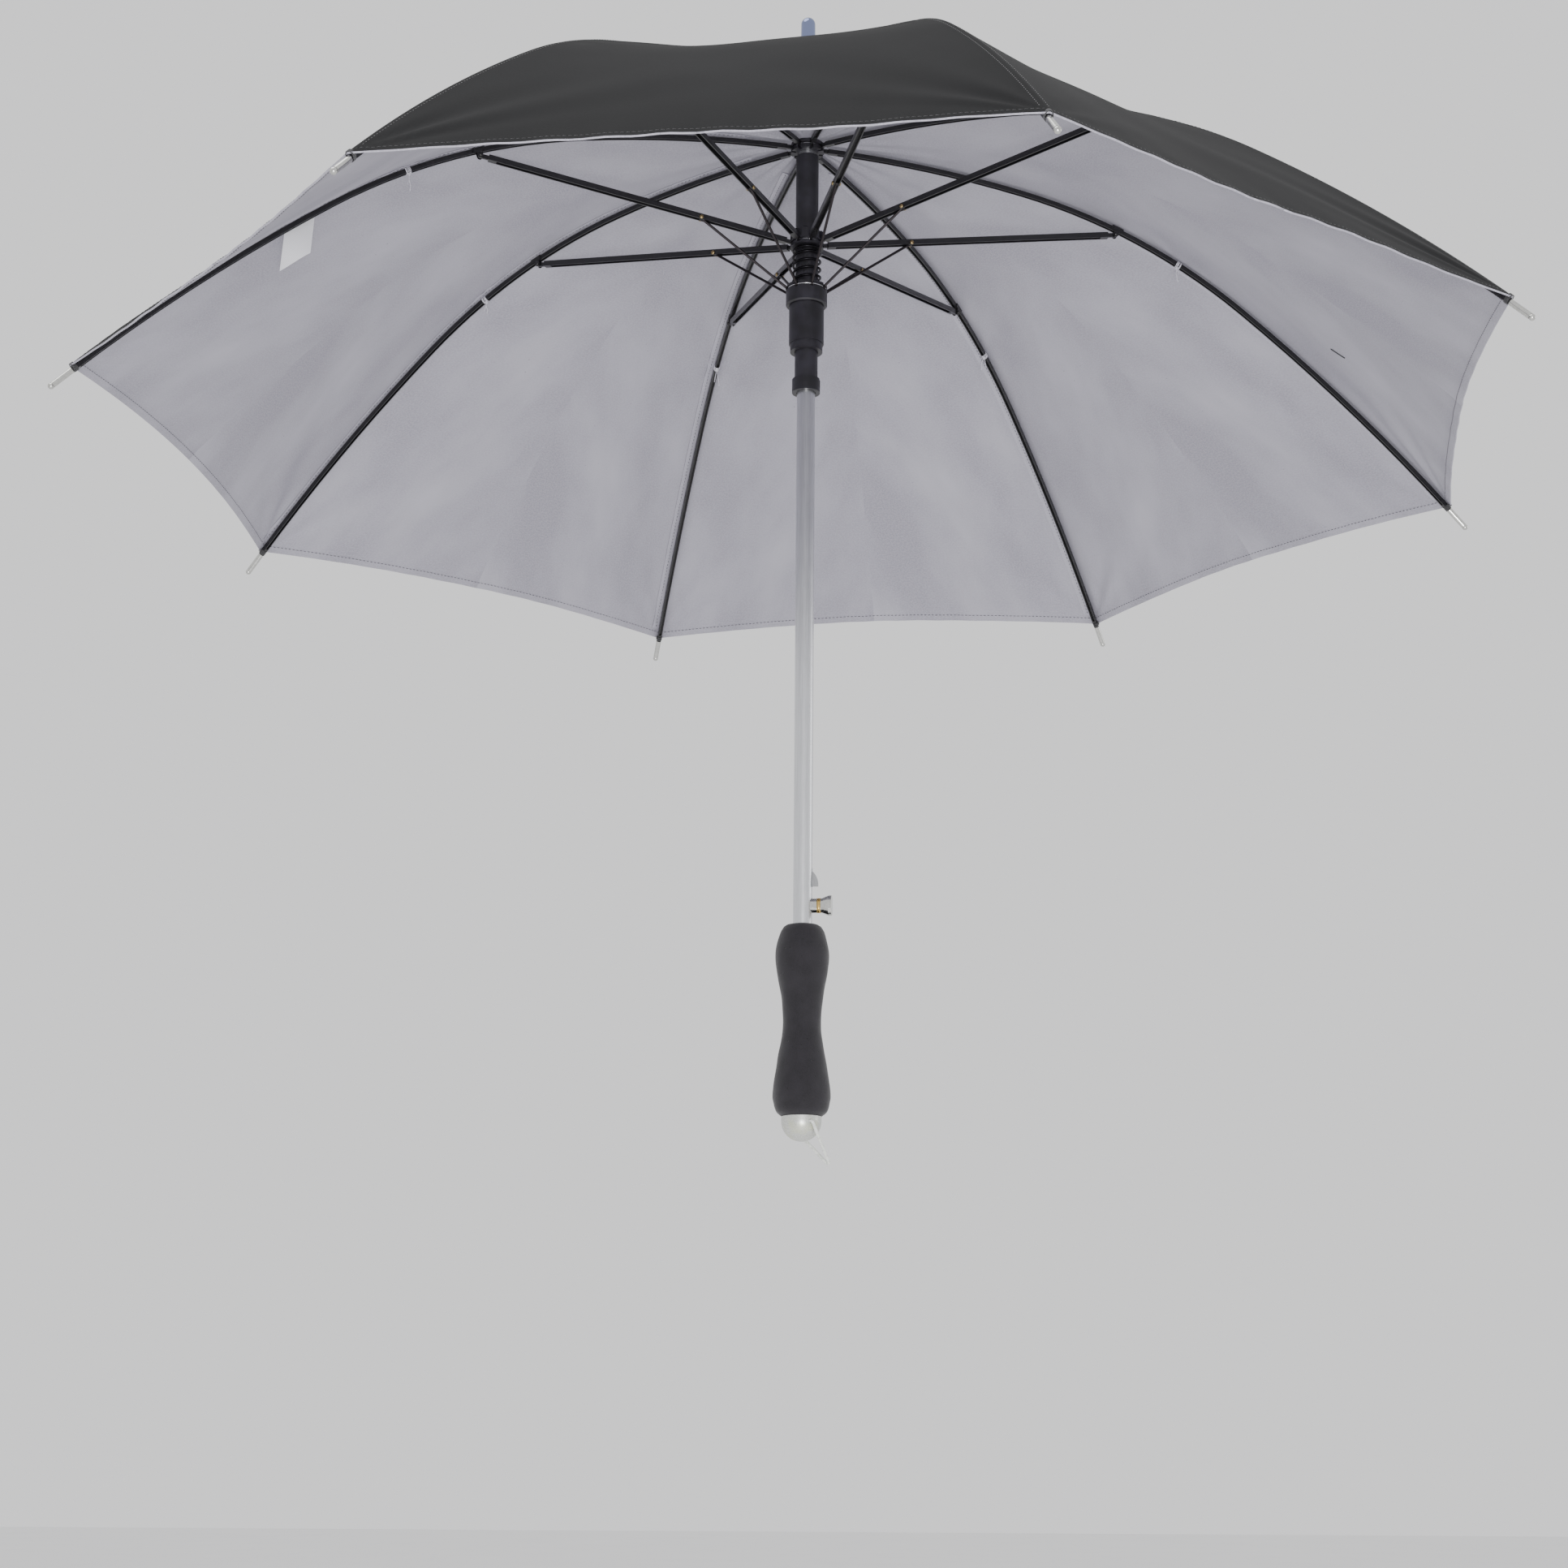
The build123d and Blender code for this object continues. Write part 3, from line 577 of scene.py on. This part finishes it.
def sheet_piece(name, outer, inner, flat_uv, over, under, rim=None):
    """A sheet of cloth with its own finish on each side and a UV map in metres."""
    vertices, top, bottom, edge = sheet_mesh(outer, inner)
    item = piece(name, vertices, top + bottom + edge, over, under, rim or over)
    indices = [0] * len(top) + [1] * len(bottom) + [2] * len(edge)
    item.data.polygons.foreach_set("material_index", indices)
    crisp_rim(item.data)
    uv = np.concatenate([flat_uv.reshape(-1, 2)] * 2)
    layer = item.data.uv_layers.new(name="cloth")
    loops = np.empty(len(item.data.loops), np.int32)
    item.data.loops.foreach_get("vertex_index", loops)
    layer.data.foreach_set("uv", uv[loops].ravel())
    return item


def fold_with_rib(item, k):
    """Moves a piece with rib k, and gives it a mesh of its own."""
    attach(item, f"rib_arm_{k + 1}")
    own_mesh(item)
    return item


def sector(k):
    """One rib's share of the cloth, from mid gore to mid gore, black outside and silver inside."""
    share, across = np.meshgrid(SHARES, ACROSS, indexing="ij")
    along = CLOTH_START + share * (CORNER_AT - CLOTH_START)
    from_hem = (1 - share) * (CORNER_AT - CLOTH_START)
    doubled = np.clip((HEM_WIDTH - from_hem) / (1.2 * MM), 0, 1)
    outer = cloth(k, share, across, CLOTH)
    inner = cloth(k, share, across, -0.8 * MM * doubled)
    uv = np.stack([across * along * GORE_SPREAD, along], -1)
    # the sheet's edges get the lighter copy of the coating, a painted highlight
    item = sheet_piece(f"canopy_{k + 1}", outer, inner, uv, "pongee", "silver", "seam_silver")
    fold_with_rib(item, k)
    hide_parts(f"canopy_sector_{k + 1}")
    return item


def flat_area():
    """The flat cut of one sector: its smooth surface, before wrinkles."""
    share, across = np.meshgrid(np.linspace(0, 1, 60), np.linspace(-1, 1, 41), indexing="ij")
    points, _ = smooth_cloth(share, across)
    first, second = points[1:, :-1] - points[:-1, :-1], points[:-1, 1:] - points[:-1, :-1]
    return float(np.linalg.norm(np.cross(first, second), axis=-1).sum())


def across_at(share, side_mm):
    """The across value that lies some millimetres beside the rib."""
    edge, _ = smooth_cloth(share, 1.0)
    return side_mm * MM / edge[..., 1]


sectors = [sector(k) for k in range(RIBS)]


# ---- sewing ----
def seam(k):
    """The seam's allowance, pressed to one side of the rib on the inside."""
    share = np.linspace(0.07, 0.985, 150)[:, None]
    sides = np.linspace(2.1, 7.6, 5)
    across = np.concatenate([across_at(share, side) for side in sides], 1)
    share = np.broadcast_to(share, across.shape)
    wave = 0.12 * MM * np.sin(share * 190 + k)
    outer = cloth(k, share, across, -0.25 * MM)
    inner = cloth(k, share, across, -0.6 * MM - wave)
    uv = np.stack([np.broadcast_to(sides * MM, across.shape), share * CORNER_AT], -1)
    # the allowance gets the lighter copy of the coating, a painted highlight
    return fold_with_rib(sheet_piece(f"seam_{k + 1}", outer, inner, uv, "seam_silver", "seam_silver"), k)


def stitch_tool():
    """A node group that lays short stitches along its input's edges."""
    tree = bpy.data.node_groups.new("stitch_run", "GeometryNodeTree")
    face = tree.interface
    face.new_socket("Geometry", in_out="INPUT", socket_type="NodeSocketGeometry")
    face.new_socket("Spacing", in_out="INPUT", socket_type="NodeSocketFloat")
    face.new_socket("Stitch", in_out="INPUT", socket_type="NodeSocketVector")
    face.new_socket("Material", in_out="INPUT", socket_type="NodeSocketMaterial")
    face.new_socket("Geometry", in_out="OUTPUT", socket_type="NodeSocketGeometry")
    given = add(tree, "NodeGroupInput").node.outputs
    line = add(tree, "GeometryNodeMeshToCurve", {"Mesh": given["Geometry"]})
    spaced = {"Curve": line, "Length": given["Spacing"]}
    places = add(tree, "GeometryNodeResampleCurve", spaced, mode="LENGTH")
    ball = add(tree, "GeometryNodeMeshIcoSphere", {"Radius": 1.0, "Subdivisions": 1})
    stitch = add(tree, "GeometryNodeTransform", {"Geometry": ball, "Scale": given["Stitch"]})
    tangent = add(tree, "GeometryNodeInputTangent")
    turn = add(tree, "FunctionNodeAlignEulerToVector", {"Vector": tangent}, axis="X")
    laid = add(tree, "GeometryNodeInstanceOnPoints", {"Points": places, "Instance": stitch, "Rotation": turn})
    whole = add(tree, "GeometryNodeRealizeInstances", {"Geometry": laid})
    done = add(tree, "GeometryNodeSetMaterial", {"Geometry": whole, "Material": given["Material"]})
    plug(tree.nodes.new("NodeGroupOutput"), {0: done})
    return tree


STITCHES = stitch_tool()


def stitched(name, runs, material, spacing=3.2 * MM, size=(1.2 * MM, 0.26 * MM, 0.26 * MM)):
    """Stitches along several runs of points, as one plain mesh."""
    vertices, edges = [], []
    for run in runs:
        edges += [(i + len(vertices), i + 1 + len(vertices)) for i in range(len(run) - 1)]
        vertices += [tuple(p) for p in run]
    line = bpy.data.meshes.new(name + "_line")
    line.from_pydata(vertices, edges, [])
    item = bpy.data.objects.new(name, line)
    bpy.context.scene.collection.objects.link(item)
    modifier = item.modifiers.new("stitches", "NODES")
    modifier.node_group = STITCHES
    values = {"Spacing": spacing, "Stitch": size, "Material": MATERIALS[material]}
    for socket in STITCHES.interface.items_tree:
        if socket.in_out == "INPUT" and socket.name in values:
            modifier[socket.identifier] = values[socket.name]
    bpy.context.view_layer.update()
    seen = item.evaluated_get(bpy.context.evaluated_depsgraph_get())
    mesh = bpy.data.meshes.new_from_object(seen)
    item.modifiers.clear()
    item.data = mesh
    mesh.polygons.foreach_set("use_smooth", [True] * len(mesh.polygons))
    return item


def hem_run(k, back, lift):
    """A line of sewing along the hem, a distance back from the edge."""
    across = np.linspace(-1, 1, 90)
    return cloth(k, np.full(across.shape, 1 - back / (CORNER_AT - CLOTH_START)), across, lift)


def seam_run(k, side, lift):
    """A line of sewing along the rib, some millimetres beside it."""
    share = np.linspace(0.075, 0.98, 170)
    return cloth(k, share, across_at(share, side), lift)


def fold_fill(k):
    """A ply inside the cloth near the crown, its width worked out from where the rib lies when it is down.
    Down, it spreads wider than the cloth and shuts its gaps.
    """
    along = CLOTH_START + SHARES * (CORNER_AT - CLOTH_START)
    rows = (along > 9 * MM) & (along < 349 * MM)
    along, share = along[rows], SHARES[rows]
    r, z = rib_line(along, CLOTH_LIFT)
    down = math.radians(JOINTS["rib_1_fold"]["range_deg"][1])
    shut = PIVOT_R + (r - PIVOT_R) * math.cos(down) + (z - CROWN_Z) * math.sin(down)
    width = across_at(share, (shut * math.tan(HALF_GORE) / MM + 1.0) / FILL_KEEP)
    taper = np.clip((350 * MM - along) / (70 * MM), 0, 1)
    width = np.clip(width * taper * (2 - taper), 0.02, 0.985)[:, None]
    across = np.clip(ACROSS[None, :], -width, width)
    share = np.broadcast_to(share[:, None], across.shape)
    along = np.broadcast_to(along[:, None], across.shape)
    uv = np.stack([across * along * GORE_SPREAD, along], -1)
    outer, inner = cloth(k, share, across, 0.2 * MM), cloth(k, share, across, 0.1 * MM)
    item = sheet_piece(f"fold_fill_{k + 1}", outer, inner, uv, "pongee", "silver")
    mesh = bmesh.new()
    mesh.from_mesh(item.data)
    bmesh.ops.remove_doubles(mesh, verts=mesh.verts, dist=1e-6)
    bmesh.ops.dissolve_degenerate(mesh, edges=mesh.edges, dist=1e-6)
    mesh.to_mesh(item.data)
    mesh.free()
    return fold_with_rib(item, k)


def sewing(k):
    """The stitches of one sector: hem and seam, dark grey inside and black outside."""
    inside = [hem_run(k, 5.6 * MM, -0.85 * MM), seam_run(k, 4.6, -0.65 * MM)]
    outside = [hem_run(k, 5.6 * MM, CLOTH + 0.03 * MM), seam_run(k, 2.6, CLOTH + 0.03 * MM)]
    outside.append(seam_run(k, -2.6, CLOTH + 0.03 * MM))
    return [
        fold_with_rib(stitched(f"inner_stitches_{k + 1}", inside, "dark_thread"), k),
        fold_with_rib(stitched(f"outer_stitches_{k + 1}", outside, "black_thread"), k),
    ]


def on_rib(along, lift=0.0):
    """A point of a rib's centreline, in the plane of azimuth 0."""
    r, z = rib_line(along, lift)
    return np.array([float(r), 0.0, float(z)])


def slope_at(along):
    """The way a rib runs outwards there."""
    ahead = on_rib(along + 0.5 * MM) - on_rib(along - 0.5 * MM)
    return ahead / np.linalg.norm(ahead)


def tie(k):
    """Thread that binds the seam to the rib: wraps, a knot and two loose ends."""
    rng = np.random.default_rng(40 + k)
    out = slope_at(TIE_AT)
    up = np.array([-out[2], 0, out[0]])
    parts = []
    for step in np.linspace(-1.6, 1.6, 5):
        turn = np.linspace(0, 2 * math.pi, 28, endpoint=False)
        centre = on_rib(TIE_AT + step * MM, 0.3 * MM)
        lean = rng.uniform(-0.3, 0.3) * MM
        loop = [centre + 2.1 * MM * math.cos(t) * np.array([0, 1, 0]) + 2.4 * MM * math.sin(t) * up
                + lean * math.cos(t) * out for t in turn]
        parts.append(wire(turned(loop, k), THREAD_R, 6, closed=True))
    knot = on_rib(TIE_AT, -2.4 * MM)
    for side in (-1, 1):
        length = rng.uniform(6, 13)
        steps = np.linspace(0, 1, 14)[:, None]
        drift = np.array([0, side * 2.2 * MM, 0]) + rng.uniform(-2, 2) * MM * out
        end = knot + steps * drift + np.array([0, 0, -length * MM]) * steps**1.4
        end = end + 0.5 * MM * np.sin(steps * 7 + side) * out
        parts.append(wire(turned(end, k), 0.28 * MM, 6))
    turn = np.linspace(0, 2 * math.pi, 14, endpoint=False)
    for tilt in (0.0, 1.1, 2.2):
        flat = np.array([math.cos(tilt), math.sin(tilt), 0.4])
        loop = [knot + 0.75 * MM * (math.cos(t) * np.array([0, 0, 1]) + math.sin(t) * flat) for t in turn]
        parts.append(wire(turned(loop, k), THREAD_R, 6, closed=True))
    return fold_with_rib(outward(joined(f"tie_{k + 1}", parts, "white_thread")), k)


def corner_binding(k):
    """Thread that holds the cloth's corner to the rib's tip."""
    centre_along = CORNER_AT - 1.5 * MM
    out = slope_at(centre_along)
    up = np.array([-out[2], 0, out[0]])
    parts = []
    for step in (-1.2, -0.4, 0.4, 1.2):
        centre = on_rib(centre_along + step * MM, 1.0 * MM)
        turn = np.linspace(0, 2 * math.pi, 24, endpoint=False)
        loop = [centre + 2.3 * MM * math.cos(t) * np.array([0, 1, 0]) + 3.3 * MM * math.sin(t) * up
                for t in turn]
        parts.append(wire(turned(loop, k), THREAD_R, 6, closed=True))
    item = outward(joined(f"corner_binding_{k + 1}", parts, "black_thread"))
    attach(item, f"rib_arm_{k + 1}")
    return item


for k in range(RIBS):
    sewn = [seam(k), fold_fill(k), tie(k), corner_binding(k)] + sewing(k)
    flat_area()


def care_label(k=4):
    """A blank care label, sewn into the seam by its upper edge."""
    width, length = LABEL
    rows, columns = np.linspace(0, 1, 16), np.linspace(-0.5, 0.5, 12)
    grid = np.empty((len(rows), len(columns), 3))
    for j, step in enumerate(columns):
        top = on_rib(LABEL_AT + step * width, 1.2 * MM)
        out = slope_at(LABEL_AT + step * width)
        for i, down in enumerate(rows):
            swing = (-4.5 - 3.5 * down**1.5 + 1.2 * math.sin(3 * down + 4 * step)) * MM
            grid[i, j] = top + np.array([0, swing, -length * down]) + out * 2.0 * MM * down
    grid = turned(grid, k)
    normal = np.cross(np.gradient(grid, axis=0), np.gradient(grid, axis=1))
    normal /= np.linalg.norm(normal, axis=-1)[..., None]
    uv = np.stack(np.meshgrid(columns * width, rows * length), -1)
    half = normal * 0.12 * MM
    item = sheet_piece("care_label", grid + half, grid - half, uv, "label", "label")
    fold_with_rib(outward(item), k)


def mend(k=0):
    """A short dark stitch, left in the cloth of one gore."""
    steps = np.linspace(0, 1, 12)
    share = 0.782 + 0.024 * steps
    across = -0.50 - 0.02 * steps
    points = cloth(k, share, across, -0.3 * MM)
    fold_with_rib(outward(piece("mend", *wire(points, 0.5 * MM, 8), "black_thread")), k)


def closing_strap(k=2):
    """The strap that holds the furled cloth, lying on the outside by the hem, with its snap."""
    near_end = 20  # millimetres beside the rib
    side = np.linspace(near_end, near_end + STRAP[0] / MM, 60)
    share = np.linspace(0.925, 0.952, 7)[:, None]  # the strap's width, as shares of the way to the hem
    across, share = np.broadcast_arrays(across_at(0.94, side)[None, :], share)
    share = share + 0.004 * np.sin(np.linspace(0, 3, 60))[None, :]
    flutter = 0.5 * MM + 0.5 * MM * np.sin(np.linspace(0, 5, 60)) ** 2
    under = cloth(k, share, across, CLOTH + 0.1 * MM + flutter)
    over = cloth(k, share, across, CLOTH + 0.7 * MM + flutter)
    uv = np.stack([across * 0.2, share * CORNER_AT], -1)
    strap = fold_with_rib(sheet_piece("closing_strap", over, under, uv, "pongee", "pongee"), k)
    outward(strap)
    row, column = 3, 54  # the snap's place in the strap's grid: mid width, near the far end
    centre, beside, ahead = over[row, column], over[row, column + 1], over[row + 1, column]
    normal = np.cross(ahead - centre, beside - centre)
    normal /= np.linalg.norm(normal)
    normal = normal if normal[2] > 0 else -normal
    profile = [(0, 0.9), (2.2, 0.75), (4.2, 0.5), (4.9, 0.1), (4.9, -0.3), (0, -0.3)]
    points, faces = lathe([(r * MM, z * MM) for r, z in profile], 28, close=False)
    turn = Vector((0, 0, 1)).rotation_difference(Vector(normal)).to_matrix()
    points = [turn @ Vector(p) + Vector(centre) for p in points]
    snap = outward(piece("strap_snap", points, faces, "nickel"))
    fold_with_rib(snap, k)


care_label()
mend()
closing_strap()


# ---- metal and plastic ----
FINISHES = {
    "shaft_tube": "shaft", "crown_notch": "nylon", "crown_wire": "bright_wire", "canopy_rosette": "nylon",
    "end_ball": "dome", "carry_loop": "loop", "latch_body": "insert", "runner_catch": "stamped",
    "release_button": "nickel", "button_spring": "spring", "runner_tube": "nylon", "stretcher_ring": "nylon",
    "ring_wire": "bright_wire", "spring_sleeve": "nylon", "collar": "nylon", "collar_wire": "bright_wire",
    "grip_foam": "foam", "opening_spring": "spring", "ferrule": "ferrule",
}
for k in range(RIBS):
    FINISHES[f"rib_{k + 1}"] = "lacquer"
    FINISHES[f"stretcher_{k + 1}"] = "lacquer"
    FINISHES[f"strut_{k + 1}"] = "strut"
    FINISHES[f"rib_tip_{k + 1}"] = "nickel"
for name, node in frame["nodes"].items():
    if name in FINISHES:
        node.data.materials.clear()
        node.data.materials.append(MATERIALS[FINISHES[name]])


def through(points, count):
    """A smooth run through points (Catmull-Rom)."""
    points = np.asarray(points, float)
    padded = np.concatenate([[2 * points[0] - points[1]], points, [2 * points[-1] - points[-2]]])
    run = []
    for at in np.linspace(0, len(points) - 1 - 1e-9, count):
        i = int(at)
        t = at - i
        a, b, c, d = padded[i:i + 4]
        bend = 2 * a - 5 * b + 4 * c - d
        run.append(0.5 * (2 * b + (c - a) * t + bend * t**2 + (3 * b - a - 3 * c + d) * t**3))
    return np.array(run)


def foam_grip():
    """The grip's ground foam, slightly uneven, with rolled ends."""
    outline = [(13.4, -60.4), (17.0, -57.2), (18.7, -52.0), (19.4, -44), (16.4, -23), (13.0, -2),
               (13.9, 18), (17.2, 37), (18.2, 50), (15.6, 62.2), (13.2, 67.2), (11.2, 68.9)]
    side = [tuple(p * MM) for p in through(outline, 150)]
    bore = 6.7 * MM
    profile = [(bore, side[0][1])] + side + [(bore, side[-1][1])]
    vertices, faces = lathe(profile, 112)
    uneven = []
    for x, y, z in vertices:
        r, turn = math.hypot(x, y), math.atan2(y, x)
        wave = math.sin(3 * turn + 90 * z) + 0.6 * math.sin(7 * turn - 260 * z)
        wave += 0.5 * math.sin(5 * turn + 410 * z)
        grow = 1 + (0.09 * MM * wave / r if r > bore + 0.3 * MM else 0)
        uneven.append((x * grow, y * grow, z))
    item = outward(piece("foam_grip", uneven, faces, "foam"))
    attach(item, "shaft")
    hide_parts("grip_foam")


def helix(radius, low, high, turns, wire_r, per_turn=36):
    """A coil with its two end turns closed up."""
    steps = np.linspace(0, turns, int(turns * per_turn))
    closed = 2.1 * wire_r
    rise = np.interp(steps, [0, 1, turns - 1, turns], [0, closed, high - low - closed, high - low])
    turn = 2 * math.pi * steps
    return np.stack([radius * np.cos(turn), radius * np.sin(turn), low + rise], 1)


def main_spring():
    """The opening spring, from its seat in the sleeve up to the stretcher ring."""
    seat, top, wire_r = 490.2 * MM, 565.0 * MM, 0.92 * MM
    coil = helix(9.68 * MM, seat + wire_r, top - wire_r, 13.2, wire_r)
    item = outward(piece("main_spring", *wire(coil, wire_r, 12), "spring"))
    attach(item, "runner")
    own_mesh(item)
    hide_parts("opening_spring")


def press_spring():
    """The button's return spring, between the stem and the shaft's far wall."""
    wire_r, seat, stem_end, height = 0.2 * MM, -5.15 * MM, 1.65 * MM, 81.0 * MM
    coil = helix(1.65 * MM, seat + wire_r, stem_end - wire_r, 4.0, wire_r, 24)
    coil = np.stack([coil[:, 2], coil[:, 0], coil[:, 1] + height], 1)
    item = outward(piece("press_spring", *wire(turned(coil, BUTTON_SIDE), wire_r, 8), "spring"))
    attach(item, "shaft")
    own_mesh(item)
    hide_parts("button_spring")


def rivets(name, pin, k, body, material):
    """The two domed heads of a cross pin."""
    r, z = pin_place(pin)
    half = 2.72 * MM
    profile = [(0, 0.75), (0.7, 0.66), (1.25, 0.38), (1.55, 0), (1.55, -0.3), (0, -0.3)]
    parts = []
    for side in (-1, 1):
        points, faces = lathe([(a * MM, b * MM) for a, b in profile], 20, close=False)
        points = [(r + x, side * (half + h), z + y) for x, y, h in points]
        parts.append((turned(points, k), faces))
    item = outward(joined(f"{name}_{k + 1}", parts, material))
    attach(item, body)


def button_band():
    """The brass band round the button's stem."""
    sides, stem_z = 48, 82.5
    turn = np.linspace(0, 2 * math.pi, sides, endpoint=False)
    loops = []
    for at, grow in ((9.9, 0.14), (12.5, 0.14), (12.5, -0.2), (9.9, -0.2)):
        y = (3.5 + grow) * np.cos(turn)
        z = (3.5 + grow) * np.sin(turn) + 1.5 * np.sign(np.sin(turn)) + stem_z
        loops.append(np.stack([np.full(sides, at), y, z], 1) * MM)
    vertices = np.concatenate(loops)
    faces = []
    for a in range(4):
        for i in range(sides):
            j, b = (i + 1) % sides, (a + 1) % 4
            faces.append((a * sides + i, a * sides + j, b * sides + j, b * sides + i))
    item = outward(piece("button_band", turned(vertices, BUTTON_SIDE), faces, "brass"))
    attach(item, "button")


foam_grip()
main_spring()
press_spring()
button_band()
for k in range(RIBS):
    rivets("strut_rivet", "strut_1_swing", k, f"stretcher_arm_{k + 1}", "rivet")
    rivets("joint_rivet", "stretcher_1_swing", k, f"rib_arm_{k + 1}", "lacquer")


# ---- camera, light and floor ----
def camera():
    """Stands in front, low down, and looks up into the open cloth."""
    data = bpy.data.cameras.new("camera")
    data.sensor_width = 36.0
    data.lens = 61.826
    data.shift_x = -0.01242
    data.clip_end = 60
    item = bpy.data.objects.new("camera", data)
    bpy.context.scene.collection.objects.link(item)
    rise, roll, away, aim = math.radians(13.663), math.radians(0.366), 1.849, Vector((0, 0, 0.1678))
    ahead = Vector((0, math.cos(rise), math.sin(rise)))
    right = Vector((1, 0, 0))
    up = right.cross(ahead)
    right, up = (math.cos(roll) * right + math.sin(roll) * up, math.cos(roll) * up - math.sin(roll) * right)
    facing = Matrix((right, up, -ahead)).transposed()
    item.matrix_world = Matrix.Translation(aim - away * ahead) @ facing.to_4x4()
    bpy.context.scene.camera = item


def area_light(name, place, aim, size, power):
    data = bpy.data.lights.new(name, "AREA")
    data.shape = "DISK"
    data.size = size
    data.energy = power
    item = bpy.data.objects.new(name, data)
    bpy.context.scene.collection.objects.link(item)
    item.location = place
    item.rotation_euler = (Vector(aim) - Vector(place)).to_track_quat("-Z", "Y").to_euler()


def studio():
    """A pale room with three soft lights and a floor well below the umbrella."""
    world = bpy.data.worlds.new("studio")
    world.use_nodes = True
    world.node_tree.nodes["Background"].inputs[0].default_value = colour("#f4f4f5")
    world.node_tree.nodes["Background"].inputs[1].default_value = 1.15
    bpy.context.scene.world = world
    area_light("overhead", (-0.8, -0.6, 2.6), (0, 0, 0.45), 2.2, 30)
    area_light("front_low", (0.15, -2.3, -0.6), (0, 0, 0.4), 0.8, 42)
    area_light("side", (2.4, 0.4, 0.7), (0, 0, 0.3), 1.2, 6)
    size, drop = 30.0, -1.3
    corners = [(-size, -size, drop), (size, -size, drop), (size, size, drop), (-size, size, drop)]
    floor = piece("floor", corners, [(0, 1, 2, 3)], smooth=False)
    material, tree, shader = finish("studio_floor", "#f1f1f1", roughness=0.9)  # matt painted board
    place = add(tree, "ShaderNodeTexCoord", output="Object")
    patches = add(tree, "ShaderNodeTexNoise", {"Vector": place, "Scale": 1 / 0.6, "Detail": 2})
    plug(shader, {"Base Color": tinted(tree, patches, 0, 1, colour("#eeeeee"), colour("#f4f4f4"))})
    floor.data.materials.append(material)


camera()
studio()
